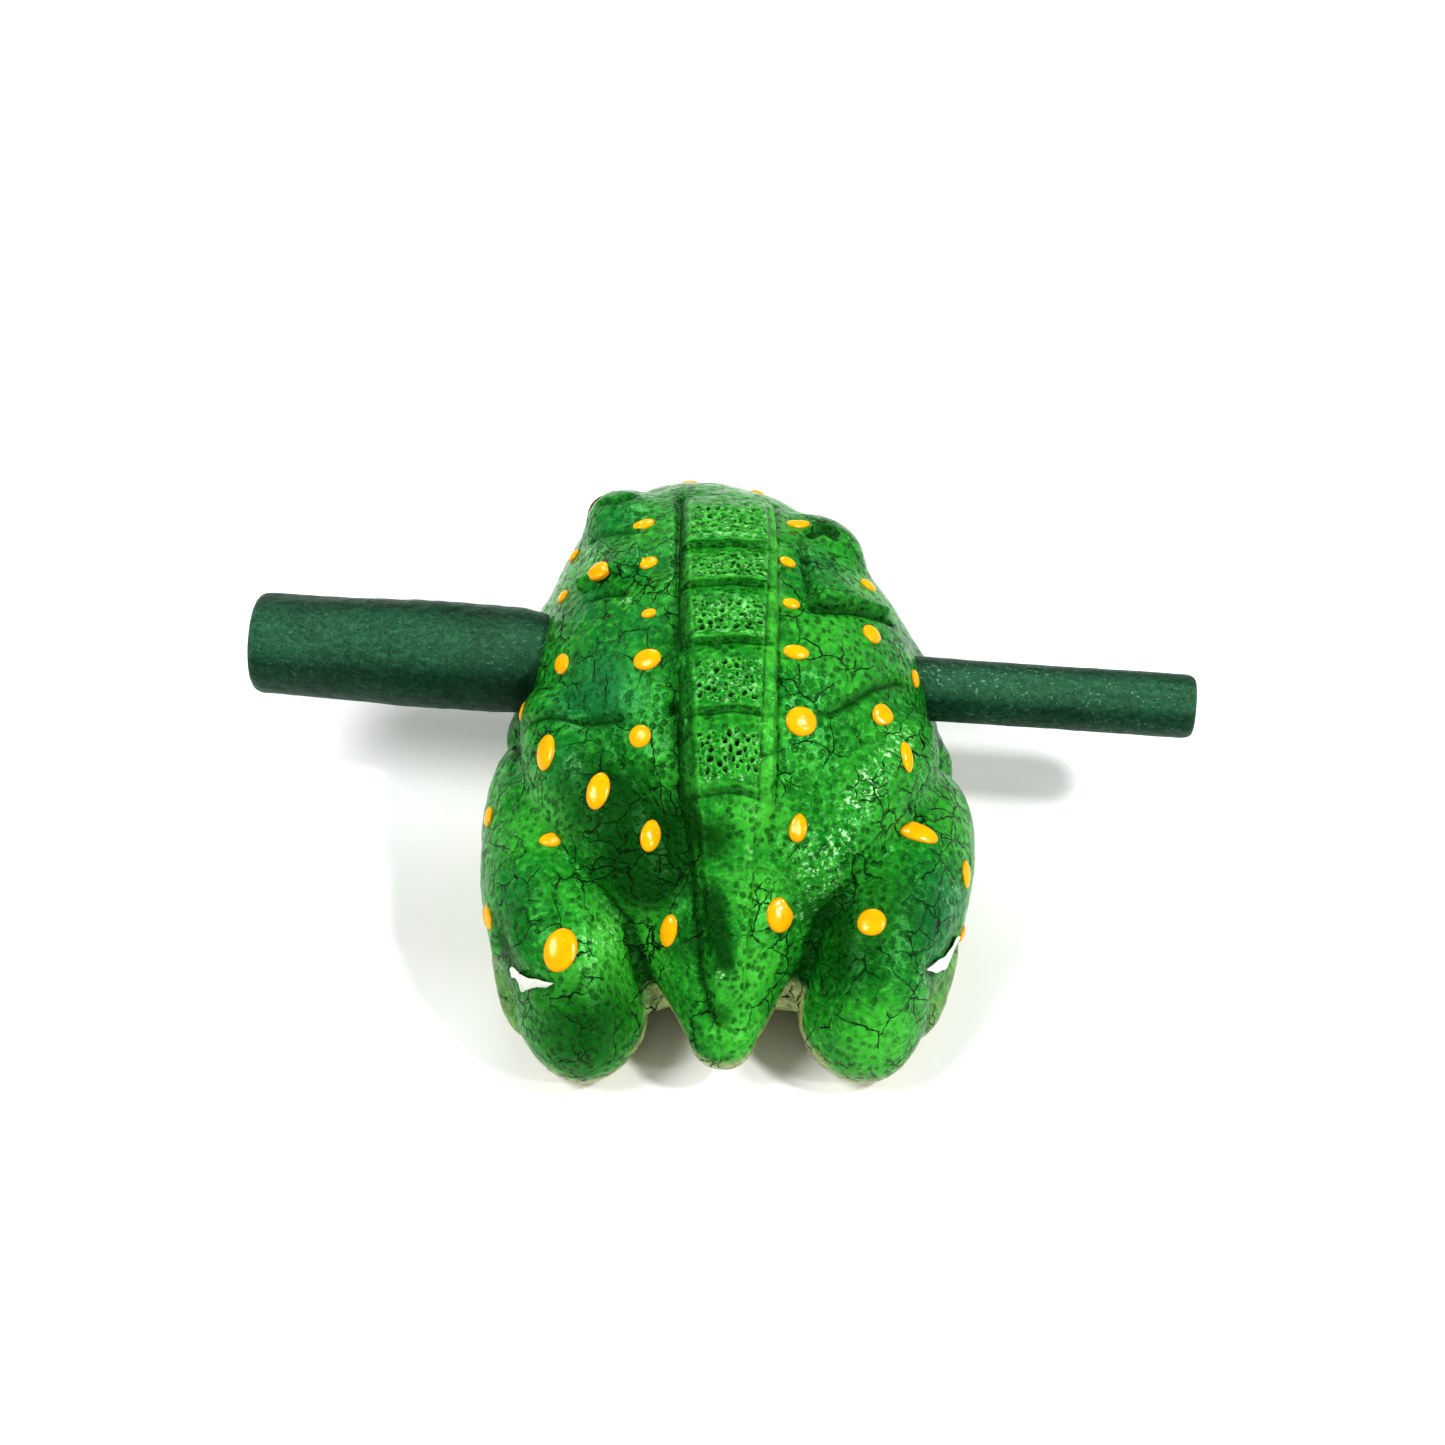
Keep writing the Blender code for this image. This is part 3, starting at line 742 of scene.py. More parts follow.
class Recipe:
    """A material's nodes, added and joined by short calls."""

    def __init__(self, name):
        self.material = bpy.data.materials.new(name)
        self.material.use_nodes = True
        self.tree = self.material.node_tree
        self.shader = self.tree.nodes["Principled BSDF"]
        self.place = self.node("ShaderNodeTexCoord").outputs["Object"]

    def put(self, socket, value):
        """Links another node's output to a socket, or sets its value; None leaves it as it is."""
        if isinstance(value, bpy.types.NodeSocket):
            self.tree.links.new(value, socket)
        elif value is not None:
            socket.default_value = value

    def node(self, kind, settings=None, **inputs):
        """A new node with its own settings and with inputs given by name."""
        node = self.tree.nodes.new(kind)
        for key, value in (settings or {}).items():
            setattr(node, key, value)
        for key, value in inputs.items():
            self.put(node.inputs[key.replace("_", " ")], value)
        return node

    def math(self, operation, first, second=None, third=None):
        node = self.node("ShaderNodeMath", {"operation": operation})
        for socket, value in zip(node.inputs, (first, second, third)):
            self.put(socket, value)
        return node.outputs[0]

    def times(self, first, second):
        return self.math("MULTIPLY", first, second)

    def rest_of(self, share):
        return self.math("SUBTRACT", 1.0, share)

    def mix(self, share, first, second):
        """Colour between two others, each a socket or linear red, green and blue."""
        node = self.node("ShaderNodeMix", {"data_type": "RGBA", "clamp_factor": True})
        self.put(node.inputs["Factor"], share)
        for index, value in ((FIRST_COLOUR, first), (SECOND_COLOUR, second)):
            self.put(node.inputs[index], (*value, 1.0) if isinstance(value, tuple) else value)
        return node.outputs[MIXED_COLOUR]

    def layer(self, base, paint, share, strength=None):
        """Lays a named paint over the base, by a share and its strength."""
        if strength is not None:
            share = self.times(share, strength)
        return self.mix(share, base, tone(paint))

    def noise(self, size, detail=3.0, roughness=0.5, place=None):
        """Cloudy noise, 0 to 1, with blots of about the given size."""
        place = place or self.place
        node = self.node(
            "ShaderNodeTexNoise", None, Vector=place, Scale=1.0 / size, Detail=detail, Roughness=roughness
        )
        return node.outputs["Fac"]

    def shaken(self, size, amount, place=None):
        """The place moved about by noise of the given size."""
        place = place or self.place
        node = self.node("ShaderNodeTexNoise", None, Vector=place, Scale=1.0 / size, Detail=3.0)
        centred = self.node("ShaderNodeVectorMath", {"operation": "SUBTRACT"})
        self.put(centred.inputs[0], node.outputs["Color"])
        self.put(centred.inputs[1], (0.5, 0.5, 0.5))
        moved = self.node("ShaderNodeVectorMath", {"operation": "MULTIPLY_ADD"})
        self.put(moved.inputs[0], centred.outputs[0])
        self.put(moved.inputs[1], (amount, amount, amount))
        self.put(moved.inputs[2], place)
        return moved.outputs[0]

    def stretched(self, scale, turn_deg=0.0):
        """Object places scaled along the axes, after a turn about Z."""
        turned = (0.0, 0.0, math.radians(turn_deg))
        lay = self.node("ShaderNodeMapping", None, Vector=self.place, Rotation=turned).outputs["Vector"]
        return self.node("ShaderNodeMapping", None, Vector=lay, Scale=scale).outputs["Vector"]

    def cells(self, size, feature, place):
        """Distance in a pattern of cells: F1 from their middles, DISTANCE_TO_EDGE from their edges."""
        node = self.node("ShaderNodeTexVoronoi", {"feature": feature}, Vector=place, Scale=1.0 / size)
        return node.outputs["Distance"]

    def between(self, value, low, high):
        """0 at low and 1 at high, smooth between."""
        node = self.node("ShaderNodeMapRange", {"interpolation_type": "SMOOTHSTEP"}, Value=value)
        self.put(node.inputs["From Min"], low)
        self.put(node.inputs["From Max"], high)
        return node.outputs["Result"]

    def attribute(self, name):
        """The mesh's own mark of that name."""
        return self.node("ShaderNodeAttribute", {"attribute_name": name}).outputs["Fac"]

    def bump(self, height, distance, strength=1.0):
        node = self.node("ShaderNodeBump", None, Height=height, Distance=distance, Strength=strength)
        self.put(self.shader.inputs["Normal"], node.outputs["Normal"])

    def reflect(self, level, tint=None):
        """Strength and colour of the reflections off a surface."""
        self.shader.inputs["Specular IOR Level"].default_value = level
        if tint:
            self.shader.inputs["Specular Tint"].default_value = (*tint, 1.0)

    def finish(self, base, roughness):
        self.put(self.shader.inputs["Base Color"], base)
        self.put(self.shader.inputs["Roughness"], roughness)
        return self.material


def tone(name):
    """A paint's colour, as set in the panel."""
    return tuple(getattr(bpy.context.scene.croaking_frog_colours, name))


def crackle(r, cell):
    """Share of the lacquer cracks: edges of wide and fine cells, each fading in and out over the skin."""
    wobble = r.shaken(0.0030, 0.0022, r.shaken(0.0009, 0.0007))
    wide = r.cells(cell, "DISTANCE_TO_EDGE", wobble)
    fine = r.cells(cell * 0.60, "DISTANCE_TO_EDGE", wobble)
    wide_fade = r.between(r.noise(0.0065), 0.42, 0.60)
    fine_fade = r.between(r.noise(0.0090, detail=2.0, place=wobble), 0.51, 0.63)
    wide_line = r.times(r.rest_of(r.between(wide, 0.005, 0.021)), r.math("MAXIMUM", wide_fade, 0.15))
    fine_line = r.times(r.rest_of(r.between(fine, 0.007, 0.032)), fine_fade)
    return r.times(r.math("MAXIMUM", wide_line, fine_line), r.rest_of(r.attribute("uncracked")))


def lacquer(name):
    """Crackled, mottled green lacquer, with airbrushed patches, painted light and painted shade.

    Reads the mesh's own marks: deep patches, partly airbrushed paint and partly painted shade; teal
    patches, partly painted shade; painted light; painted highlights; cream belly; lip; and pits with
    painted shade in them and painted highlights on their rims.
    """
    r = Recipe(name)
    mottle = r.noise(0.0011, detail=4.0, roughness=0.62)
    cloud = r.noise(0.0110, roughness=0.55)
    crack = crackle(r, bpy.context.scene.croaking_frog_sizes.crackle_cell)
    fleck = r.rest_of(r.between(r.cells(0.0012, "F1", r.shaken(0.0006, 0.0006)), 0.16, 0.52))
    flecked = r.math("MAXIMUM", r.between(r.noise(0.0120, detail=2.0), 0.36, 0.60), 0.45)
    spark = r.times(r.between(r.noise(0.0006), 0.50, 0.60), r.between(mottle, 0.44, 0.56))

    base = r.mix(r.times(r.between(cloud, 0.35, 0.70), 0.35), tone("leaf"), tone("bright"))
    base = r.layer(base, "bright", r.between(mottle, 0.50, 0.68), 0.55)
    # Painted light from the bright mark, partly painted shade from the teal mark, and airbrushed paint with
    # painted shade from the deep mark.
    base = r.layer(base, "bright", r.attribute("bright"), 0.80)
    base = r.layer(base, "teal", r.attribute("teal"), 0.70)
    base = r.layer(base, "deep", r.attribute("deep"), 0.94)
    base = r.layer(base, "deep", r.rest_of(r.between(mottle, 0.34, 0.50)), 0.40)
    base = r.layer(base, "deep", r.times(fleck, flecked), 0.66)
    # Painted highlights: broken light specks where the sheen mark lies.
    base = r.layer(base, "worn", spark, r.attribute("worn"))
    # The rim mark is painted highlight on the spine's edges, lit walls and pit rims; cream and lip are
    # paint.
    for paint, mark in (("bright", "rim"), ("cream", "cream"), ("lip", "lip")):
        base = r.layer(base, paint, r.attribute(mark))
    base = r.layer(base, "crack", crack)
    # Painted shade in the punched pits.
    base = r.layer(base, "crack", r.attribute("pit"))

    height = r.math("SUBTRACT", r.times(mottle, 0.35), r.times(crack, 0.40))
    height = r.math("SUBTRACT", height, r.times(fleck, 0.45))
    r.bump(height, 0.00055)
    r.reflect(0.36, (0.40, 1.0, 0.45))
    matt = r.math("MULTIPLY_ADD", r.attribute("deep"), 0.22, 0.04)
    return r.finish(base, r.math("MULTIPLY_ADD", mottle, 0.24, matt))


def spot_paint(name):
    """Thick glossy paint, thinner and more orange at the rim and a little uneven."""
    r = Recipe(name)
    uneven = r.times(r.between(r.noise(0.0011), 0.35, 0.75), 0.30)
    base = r.mix(r.math("MAXIMUM", r.attribute("rim"), uneven), tone("spot"), tone("spot_rim"))
    r.bump(r.noise(0.0009, detail=2.0), 0.00012, 0.5)
    r.reflect(0.40)
    return r.finish(base, 0.20)


def white_paint(name):
    """Thin dry-brushed white."""
    r = Recipe(name)
    streak = r.between(r.noise(0.0007, detail=4.0, roughness=0.6), 0.35, 0.65)
    base = r.mix(r.times(streak, 0.25), tone("white"), tone("cream"))
    r.bump(r.noise(0.0006), 0.00010, 0.5)
    return r.finish(base, 0.42)


def eye_paint(name):
    """Varnished eye: black pupil, then yellow iris, then black edge, by distance from the middle."""
    r = Recipe(name)
    out = r.attribute("outward")
    flecks = r.between(r.noise(0.0005), 0.4, 0.7)
    iris = r.mix(r.times(flecks, 0.4), tone("spot"), tone("spot_rim"))
    base = r.mix(r.between(out, 0.50, 0.56), tone("eye"), iris)
    base = r.layer(base, "eye", r.between(out, 0.86, 0.95))
    r.bump(r.noise(0.0010, detail=2.0), 0.00008, 0.4)
    r.shader.inputs["Coat Weight"].default_value = 0.8
    r.shader.inputs["Coat Roughness"].default_value = 0.04
    return r.finish(base, 0.12)


def bare_wood(name):
    """Unpainted wood with long grain along the body."""
    r = Recipe(name)
    along = r.stretched((1.0, 0.12, 1.0))
    grain = r.between(r.noise(0.0012, detail=6.0, roughness=0.7, place=along), 0.35, 0.68)
    pores = r.rest_of(r.between(r.cells(0.0008, "F1", along), 0.10, 0.30))
    base = r.mix(grain, tone("wood"), srgb(110, 72, 40))
    base = r.mix(r.times(pores, 0.5), base, srgb(58, 34, 18))
    r.bump(r.math("SUBTRACT", grain, pores), 0.00025, 0.6)
    return r.finish(base, 0.72)


def stained_wood(name):
    """Thin green stain over a turned stick, with grain, painted light on its top, painted shade underneath,
    and light specks that are strongest on the lit top as painted glints.
    """
    r = Recipe(name)
    along = r.stretched((0.75, 1.0, 1.0), SKEW_DEG)
    handled = r.attribute("handled")
    grain = r.noise(0.0009, detail=6.0, roughness=0.72, place=along)
    speck = r.between(r.noise(0.00055, detail=4.0, roughness=0.70, place=along), 0.52, 0.63)
    worn = r.between(r.noise(0.0060, detail=4.0, roughness=0.6, place=along), 0.40, 0.66)
    pooled = r.between(r.noise(0.0085, detail=4.0, roughness=0.6, place=along), 0.42, 0.62)
    # Painted glints: the light specks are strongest where the top is lit, and fewer on the club.
    worn = r.times(r.math("MULTIPLY_ADD", worn, 0.85, 0.25), r.math("MULTIPLY_ADD", handled, 0.65, 0.35))
    worn = r.times(worn, r.rest_of(r.times(r.attribute("thick"), 0.55)))

    base = r.mix(r.times(pooled, 0.50), tone("stain"), tone("stain_dark"))
    base = r.layer(base, "stain_dark", r.between(grain, 0.46, 0.62), 0.30)
    base = r.layer(base, "stain_light", r.between(grain, 0.54, 0.40), 0.12)
    # Painted shade on all but the top of the stick, and painted light on its top.
    base = r.layer(base, "stain_dark", r.rest_of(handled), 0.45)
    base = r.layer(base, "stain_light", handled, 0.16)
    base = r.layer(base, "stain_light", speck, worn)
    r.bump(r.math("ADD", grain, r.times(speck, 0.4)), 0.00045)
    r.reflect(0.32, (0.50, 1.0, 0.70))
    return r.finish(base, r.math("MULTIPLY_ADD", grain, 0.25, 0.24))


def painted_floor(name):
    """Plain pale floor with the faintest cloud in it."""
    r = Recipe(name)
    cloud = r.noise(0.9, detail=2.0)
    return r.finish(r.mix(r.times(cloud, 0.2), (0.97, 0.97, 0.97), (0.94, 0.94, 0.94)), 0.6)


# ================================================================ marks on the skin
def belly_cream(points, normals):
    """Share of the cream paint: under the belly and feet, and up into the notches beside the tail."""
    x, y, z = np.abs(points[:, 0]), points[:, 1], points[:, 2]
    uneven = 1.6 * ripple(points, 7.0, 11)
    under = fall(normals[:, 2], -0.55, -0.05)
    low = fall(z + uneven, 3.0, 9.0) * (0.35 + 0.65 * under)
    belly = under * fall(z, 12.0, 17.0)
    notch = ramp(y, 26.0, 31.0) * fall(x, 13.0, 16.0) * fall(z, 9.0, 12.0) * fall(normals[:, 2], -0.1, 0.2)
    tail_edge = 11.8 - 0.55 * (y - 33.0) + 0.4 * uneven
    tail_side = ramp(y, 29.0, 32.0) * fall(x, 11.0, 13.0) * fall(z, tail_edge - 0.5, tail_edge + 0.5)
    return np.clip(np.maximum.reduce([low, belly, 0.8 * notch, 0.85 * tail_side]), 0.0, 1.0)


def paint_marks(mesh, points, pit=0.0, rim=0.0, dark=0.0, worn=0.0, uncracked=0.0):
    """Writes what the lacquer reads, one value a point: deep patches, partly airbrushed paint and partly
    painted shade, with painted shade in hollows and knife cuts; teal patches, partly painted shade; painted
    light; painted highlights; belly; lips; and pits.
    """
    normals = surface_normals(points)
    # Painted shade: darker where the skin is shut in, in creases and folds, and in the knife cuts.
    deep = patches(points, DEEP_PATCHES) + dark + ramp(hollowness(points, normals), 0.36, 0.75)
    deep = np.clip(deep, 0.0, 1.0) + 1.3 * cut_depths(points[:, :2], 1.2) * ramp(normals[:, 2], *FACING_UP)
    cream = belly_cream(points, normals)
    mouth_edge = fall(np.abs(ellipsoid(points, *MOUTH)), 0.7, 1.5)
    marks = {
        "deep": np.clip(deep, 0.0, 1.0) * (1.0 - cream),
        "teal": patches(points, TEAL_PATCHES),
        "bright": patches(points, LIT_PATCHES),
        "worn": np.maximum(patches(points, SHEEN_PATCHES), worn),
        "cream": 0.85 * cream,
        "lip": mouth_edge * ramp(-points[:, 1], 36.0, 40.0),
        "pit": pit,
        "rim": rim,
        "uncracked": uncracked,
    }
    for name, values in marks.items():
        paint_attribute(mesh, name, np.broadcast_to(values, len(points)))


# ================================================================ operators
class BuildSkin(bpy.types.Operator):
    """The lacquered body: a cube's net drawn onto the carved form, raised by its relief, then hollowed."""

    bl_idname = "croaking_frog.build_skin"
    bl_label = "Frog Skin"

    def execute(self, context):
        sizes = context.scene.croaking_frog_sizes
        split = sizes.net_split
        directions, index, quads = cube_net(sizes.cage_cells)
        directions /= length_of(directions)[:, None]
        coarse = reach_inward(directions, np.array(CAGE_CENTRE))
        coarse = relax_onto(coarse, quads, *COARSE_RELAX)
        points, quads = split_net(coarse, index, split)
        for steps, power in FINE_RELAX:
            points = relax_onto(points, quads, steps, power)
        normals = surface_normals(points)
        points = points + normals * relief(points, normals)[:, None]
        points[:, 1] = held_between(points[:, 1], FROG_BOX[0][1] / MM, FROG_BOX[1][1] / MM)
        points[:, 2] = held_between(points[:, 2], 0.0, FROG_BOX[1][2] / MM)

        skin = new_piece("frog_skin", points, [quads], lacquer("crackled_lacquer"))
        wood = bare_wood("bare_wood")
        heights = np.linspace(-BORE_REACH, BORE_REACH, BORE_RINGS)
        radii = neck(heights, CLUB_RADIUS + BORE_CLEARANCE, ROD_RADIUS + BORE_CLEARANCE, -BORE_CLEARANCE)
        cutters = [
            new_tubes("chamber_cutter", oval_rings(*CHAMBER), wood)[0],
            new_tubes("mouth_cutter", oval_rings(*MOUTH), wood)[0],
            new_tubes("bore_cutter", along_bore(heights, radii, BORE_SIDES)[None], wood)[0],
        ]
        for cutter in cutters:
            cut(skin, cutter)
        settle(skin)
        for cutter in cutters:
            bpy.data.objects.remove(cutter)
        if len(skin.data.polygons) < len(quads) / 2:
            raise RuntimeError("the cuts took most of the skin away")
        skin.data.shade_smooth()
        paint_marks(skin.data, mesh_points(skin.data))
        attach(skin, BODY)
        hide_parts("frog_body")
        return {"FINISHED"}


def spine_rows(count):
    """Places of the strip's rows, y: four times closer at the shingles' edges than between them."""
    fine = np.linspace(SPINE_START_Y, SPINE_END_Y, 4000)
    closeness = 1.0 + sum(3.0 * bell((fine - edge) / 0.6) for edge in TILE_EDGES_Y)
    spent = np.cumsum(closeness)
    return np.interp(np.linspace(spent[0], spent[-1], count), spent, fine)


def bent_along(points):
    """Places along the spine, y, bent a little by waves so that the shingles' edges aren't ruled."""
    flat = points * np.array((1.0, 0.15, 0.0))
    return points[:, 1] + EDGE_BEND * ripple(flat, 4.5, 24)


def shingle_share(y):
    """For each shingle, the share of its length that a place is along it."""
    return [(y - start) / (end - start) for start, end in zip(TILE_EDGES_Y, TILE_EDGES_Y[1:])]


def shingle_lift(y):
    """Height of the strip: each shingle rises over its ramp and plateau, and drops at its rear edge."""
    lift = np.interp(y, (SPINE_START_Y, TILE_EDGES_Y[0]), (-0.4, TILE_LOW))
    for share in shingle_share(y):
        rise = np.interp(share, TILE_SHARES, TILE_HEIGHTS)
        lift = np.where((share >= 0.0) & (share < 1.0), rise, lift)
    return np.where(y >= TILE_EDGES_Y[-1], np.interp(y, KEEL_PLACES_Y, KEEL_HEIGHTS), lift)


def strip_section(lift, flat, beyond, skirt):
    """Height across the strip, by the distance beyond the plate's edge.

    On the left the side slopes evenly into the groove. On the right it drops to a narrow ledge first.
    """
    top = lift - 0.15 * ramp(beyond, -0.4, 0.0)
    left = top + (-SKIRT_TUCK - top) * ramp(beyond, 0.0, 0.85 * skirt)
    ledge = np.minimum(top, LEDGE_HEIGHT)
    right = top + (ledge - top) * ramp(beyond, 0.0, 0.45)
    right = right + (-SKIRT_TUCK - ledge) * ramp(beyond, 0.72 * skirt, 0.95 * skirt)
    keel = ramp(flat[:, 1], 16.0, 20.0)
    return np.where(flat[:, 0] > 0.0, left, right * (1.0 - keel) + left * keel)


def punched_pits(points, beyond, pitch):
    """Depth share and rim share of the punched pits: each plateau has a jittered grid of them."""
    rng = np.random.default_rng(7)
    pit = np.zeros(len(points))
    rim = np.zeros(len(points))
    for start, end in zip(TILE_EDGES_Y, TILE_EDGES_Y[1:]):
        first = start + (TILE_RAMP_SHARE + 0.04) * (end - start)
        last = start + (TILE_LIP_SHARE - 0.05) * (end - start)
        xs = np.arange(-PIT_FIELD, PIT_FIELD + 0.1, pitch)
        ys = np.arange(first + 0.3, last, pitch)
        spots = np.array(np.meshgrid(xs, ys)).reshape(2, -1).T
        spots = spots + rng.uniform(-PIT_JITTER, PIT_JITTER, spots.shape) * pitch
        radii = PIT_RADIUS + PIT_RADIUS_SPREAD * rng.uniform(0.0, 1.0, len(spots)) ** 1.5
        near = (points[:, 1] > start) & (points[:, 1] < end) & (beyond < -0.1)
        sway = np.column_stack([ripple(points[near], 0.9, 31), ripple(points[near], 0.9, 32)])
        place = points[near, :2] + 0.12 * sway
        nearest = (length_of(place[:, None] - spots[None]) / radii).min(axis=1)
        # The pit share also paints shade into the pits, and the rim share paints a highlight round them.
        pit[near] = fall(nearest, 0.55, 1.15)
        rim[near] = ramp(nearest, 1.0, 1.25) * fall(nearest, 1.35, 2.0)
    fade = fall(beyond, -0.5, -0.1)
    return pit * fade, rim * fade


def edge_marks(points, rim):
    """Painted light and shade along the strip: shares of painted highlight, of painted shade and of painted
    glints.

    Each shingle has painted glints on its plateau, a painted highlight on the crest before its rear edge
    and a painted shadow line behind it.
    Its left wall is in painted shade. On the right a painted highlight outline and a wall in painted light
    lie either side of a painted shade line.
    """
    along = bent_along(points)
    past = np.abs(points[:, 0]) - np.interp(points[:, 1], PLATE_PLACES_Y, PLATE_HALF_WIDTHS)
    left, right = points[:, 0] > 0.0, points[:, 0] < 0.0
    shingled = fall(points[:, 1], 14.0, 26.0)
    wall = ramp(past, 0.1, 0.8) * fall(past, 2.6, 3.4) * shingled
    dark = 0.50 * wall * left + 0.7 * bell((past - 0.30) / 0.16) * shingled * right
    crest = 0.80 * (past < 0.2) * (0.6 + 0.4 * ripple(points, 2.0, 33))
    outline = bell((past + 0.10) / 0.20) * shingled * (0.45 + 0.5 * ripple(points, 1.6, 35))
    rim = np.maximum(rim, np.clip(outline, 0.0, 0.8))
    rim = np.maximum(rim, wall * right * (0.60 + 0.35 * ripple(points, 3.0, 34)))
    for edge in TILE_EDGES_Y[1:]:
        dark += 1.2 * bell((along - edge - 0.16) / 0.20)
        rim = np.maximum(rim, crest * bell((along - edge + 0.26) / 0.17))
    plateau = sum(ramp(share, 0.25, 0.38) * fall(share, 0.93, 0.99) for share in shingle_share(along))
    return 0.75 * rim, 0.8 * dark, 0.45 * plateau * (past < 0.0)


class BuildSpine(bpy.types.Operator):
    """The punched shingles and the keel behind them: a closed strip over the back, from snout to tail."""

    bl_idname = "croaking_frog.build_spine"
    bl_label = "Spine"

    def execute(self, context):
        sizes = context.scene.croaking_frog_sizes
        rows, across = ((560, 76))
        y = spine_rows(rows)
        plate = np.interp(y, PLATE_PLACES_Y, PLATE_HALF_WIDTHS)
        skirt = np.interp(y, SKIRT_PLACES_Y, SKIRT_WIDTHS)
        share = np.linspace(-1.0, 1.0, across)
        x = (share * (plate + skirt)[:, None]).ravel()
        flat = np.column_stack([x, np.repeat(y, across), np.zeros_like(x)])
        beyond = np.abs(x) - np.repeat(plate, across) + 0.18 * ripple(flat, 5.0, 21)
        lift = strip_section(shingle_lift(bent_along(flat)), flat, beyond, np.repeat(skirt, across))
        top = np.column_stack([flat[:, :2], back_height(x, flat[:, 1]) + lift])
        grain = 0.07 * ripple(top, 1.8, 22) + 0.07 * ripple(top, 5.0, 23)
        pit, rim = punched_pits(top, beyond, sizes.pit_pitch / MM)
        tucked = ramp(np.abs(np.tile(share, rows)), 0.90, 1.0)
        top[:, 2] += grain * (1.0 - tucked) - sizes.pit_depth / MM * pit + 0.12 * rim - 0.5 * tucked
        top = top.reshape(rows, across, 3)

        low_share = np.linspace(1.0, -1.0, 8)[None, 1:-1, None]
        middle, half = (top[:, None, -1] + top[:, None, 0]) / 2, (top[:, None, -1] - top[:, None, 0]) / 2
        under = middle + half * low_share
        under[:, :, 2] -= STRIP_THICKNESS
        rings = np.concatenate([top, under], axis=1)[None, :, ::-1]
        spine, points = new_tubes("spine_shingles", rings, lacquer("spine_lacquer"))

        marks = np.zeros((2, rows, rings.shape[2]))
        marks[:, :, :across] = np.reshape((pit, rim), (2, rows, across))
        ends = np.zeros((2, 2))
        pit, rim = np.concatenate([marks[:, :, ::-1].reshape(2, -1), ends], axis=1)
        # Painted highlights, painted shade and painted glints along the shingles, with painted shade in the
        # pits.
        rim, dark, worn = edge_marks(points, rim)
        paint_marks(spine.data, points, pit, rim, dark, worn, uncracked=0.75)
        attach(spine, BODY)
        return {"FINISHED"}


def lens(spots, height, rings=12, around=28, tuck=0.9):
    """Low ovals that stand out of the skin by height * sqrt(1 - rho^2), closed by a shallow underside.

    spots holds (x, y, z, half length, half width, turn). Returns rings of points and rho for each of them.
    """
    spots = np.array(spots, dtype=float)
    centre, normals = onto_skin(spots[:, :3])
    crosswise = np.array((1.0, 0.0, 0.0)) - normals * normals[:, :1]
    upright = np.abs(normals[:, 0]) > 0.94
    crosswise[upright] = np.array((0.0, 0.0, 1.0)) - normals[upright] * normals[upright, 2:]
    crosswise /= length_of(crosswise)[:, None]
    lengthwise = np.cross(normals, crosswise)
    angle = np.radians(spots[:, 5])[:, None]
    first = crosswise * np.cos(angle) + lengthwise * np.sin(angle)
    second = np.cross(normals, first)

    rho = np.concatenate([np.sin(np.linspace(0.05, 1.0, rings) * math.pi / 2), [0.92, 0.6, 0.25]])
    theta = np.arange(around) * 2.0 * math.pi / around
    a = spots[:, 3, None, None] * rho[None, :, None] * np.cos(theta)
    b = spots[:, 4, None, None] * rho[None, :, None] * np.sin(theta)
    offset = first[:, None, None] * a[..., None] + second[:, None, None] * b[..., None]
    points = centre[:, None, None] + offset
    flatness = np.repeat(relief(centre, normals), len(rho) * around)
    points, skin_normals = onto_skin(points.reshape(-1, 3), steps=4)
    points = points + skin_normals * (0.75 * (flatness - relief(points, skin_normals)))[:, None]
    dome = height * np.sqrt(np.clip(1.0 - rho[:rings] ** 2, 0.0, 1.0)) ** 0.8 - 0.06 * rho[:rings] ** 4
    sink = np.concatenate([dome, [-tuck * 0.7, -tuck, -tuck]])
    stack = np.broadcast_to(sink[None, :, None], (len(spots), len(rho), around)).reshape(-1)
    points = points + skin_normals * stack[:, None]
    out = np.broadcast_to(rho[None, :, None], (len(spots), len(rho), around))
    return points.reshape(len(spots), len(rho), around, 3), out


def ribbon(path, height, half_width, rows=60, around=24):
    """A flat brush stroke along a path over the skin, widest a third of the way along."""
    path = np.array(path)
    knots = np.linspace(0.0, 1.0, len(path))
    share = 0.5 - 0.5 * np.cos(np.linspace(0.04, 0.985, rows) * math.pi)
    middle = np.column_stack([np.interp(share, knots, column) for column in path.T])
    for _ in range(12):
        middle[1:-1] = (middle[:-2] + 2.0 * middle[1:-1] + middle[2:]) / 4.0
    middle, normals = onto_skin(middle)
    along = np.gradient(middle, axis=0)
    across = np.cross(normals, along)
    across /= length_of(across)[:, None]
    wave = 1.0 + 0.12 * np.sin(share * 19.0)
    width = half_width * wave * np.sin(math.pi * share**0.65) ** 0.8
    angle = np.arange(around) * 2.0 * math.pi / around
    points = middle[:, None] + across[:, None] * (width[:, None] * np.cos(angle))[..., None]
    points, skin_normals = onto_skin(points.reshape(-1, 3), steps=4)
    rise = np.where(np.sin(angle) > 0.0, height, 0.30) * np.sin(angle) - 0.03
    points = points + skin_normals * np.tile(rise, rows)[:, None]
    return points.reshape(1, rows, around, 3)


def with_ends(values):
    """A value for each point of closed tubes: the rings' own, then one for each end."""
    stacks = values.shape[0]
    ends = np.stack([values[:, 0].mean(axis=1), values[:, -1].mean(axis=1)], axis=1)
    return np.concatenate([values.reshape(stacks, -1), ends], axis=1).ravel()


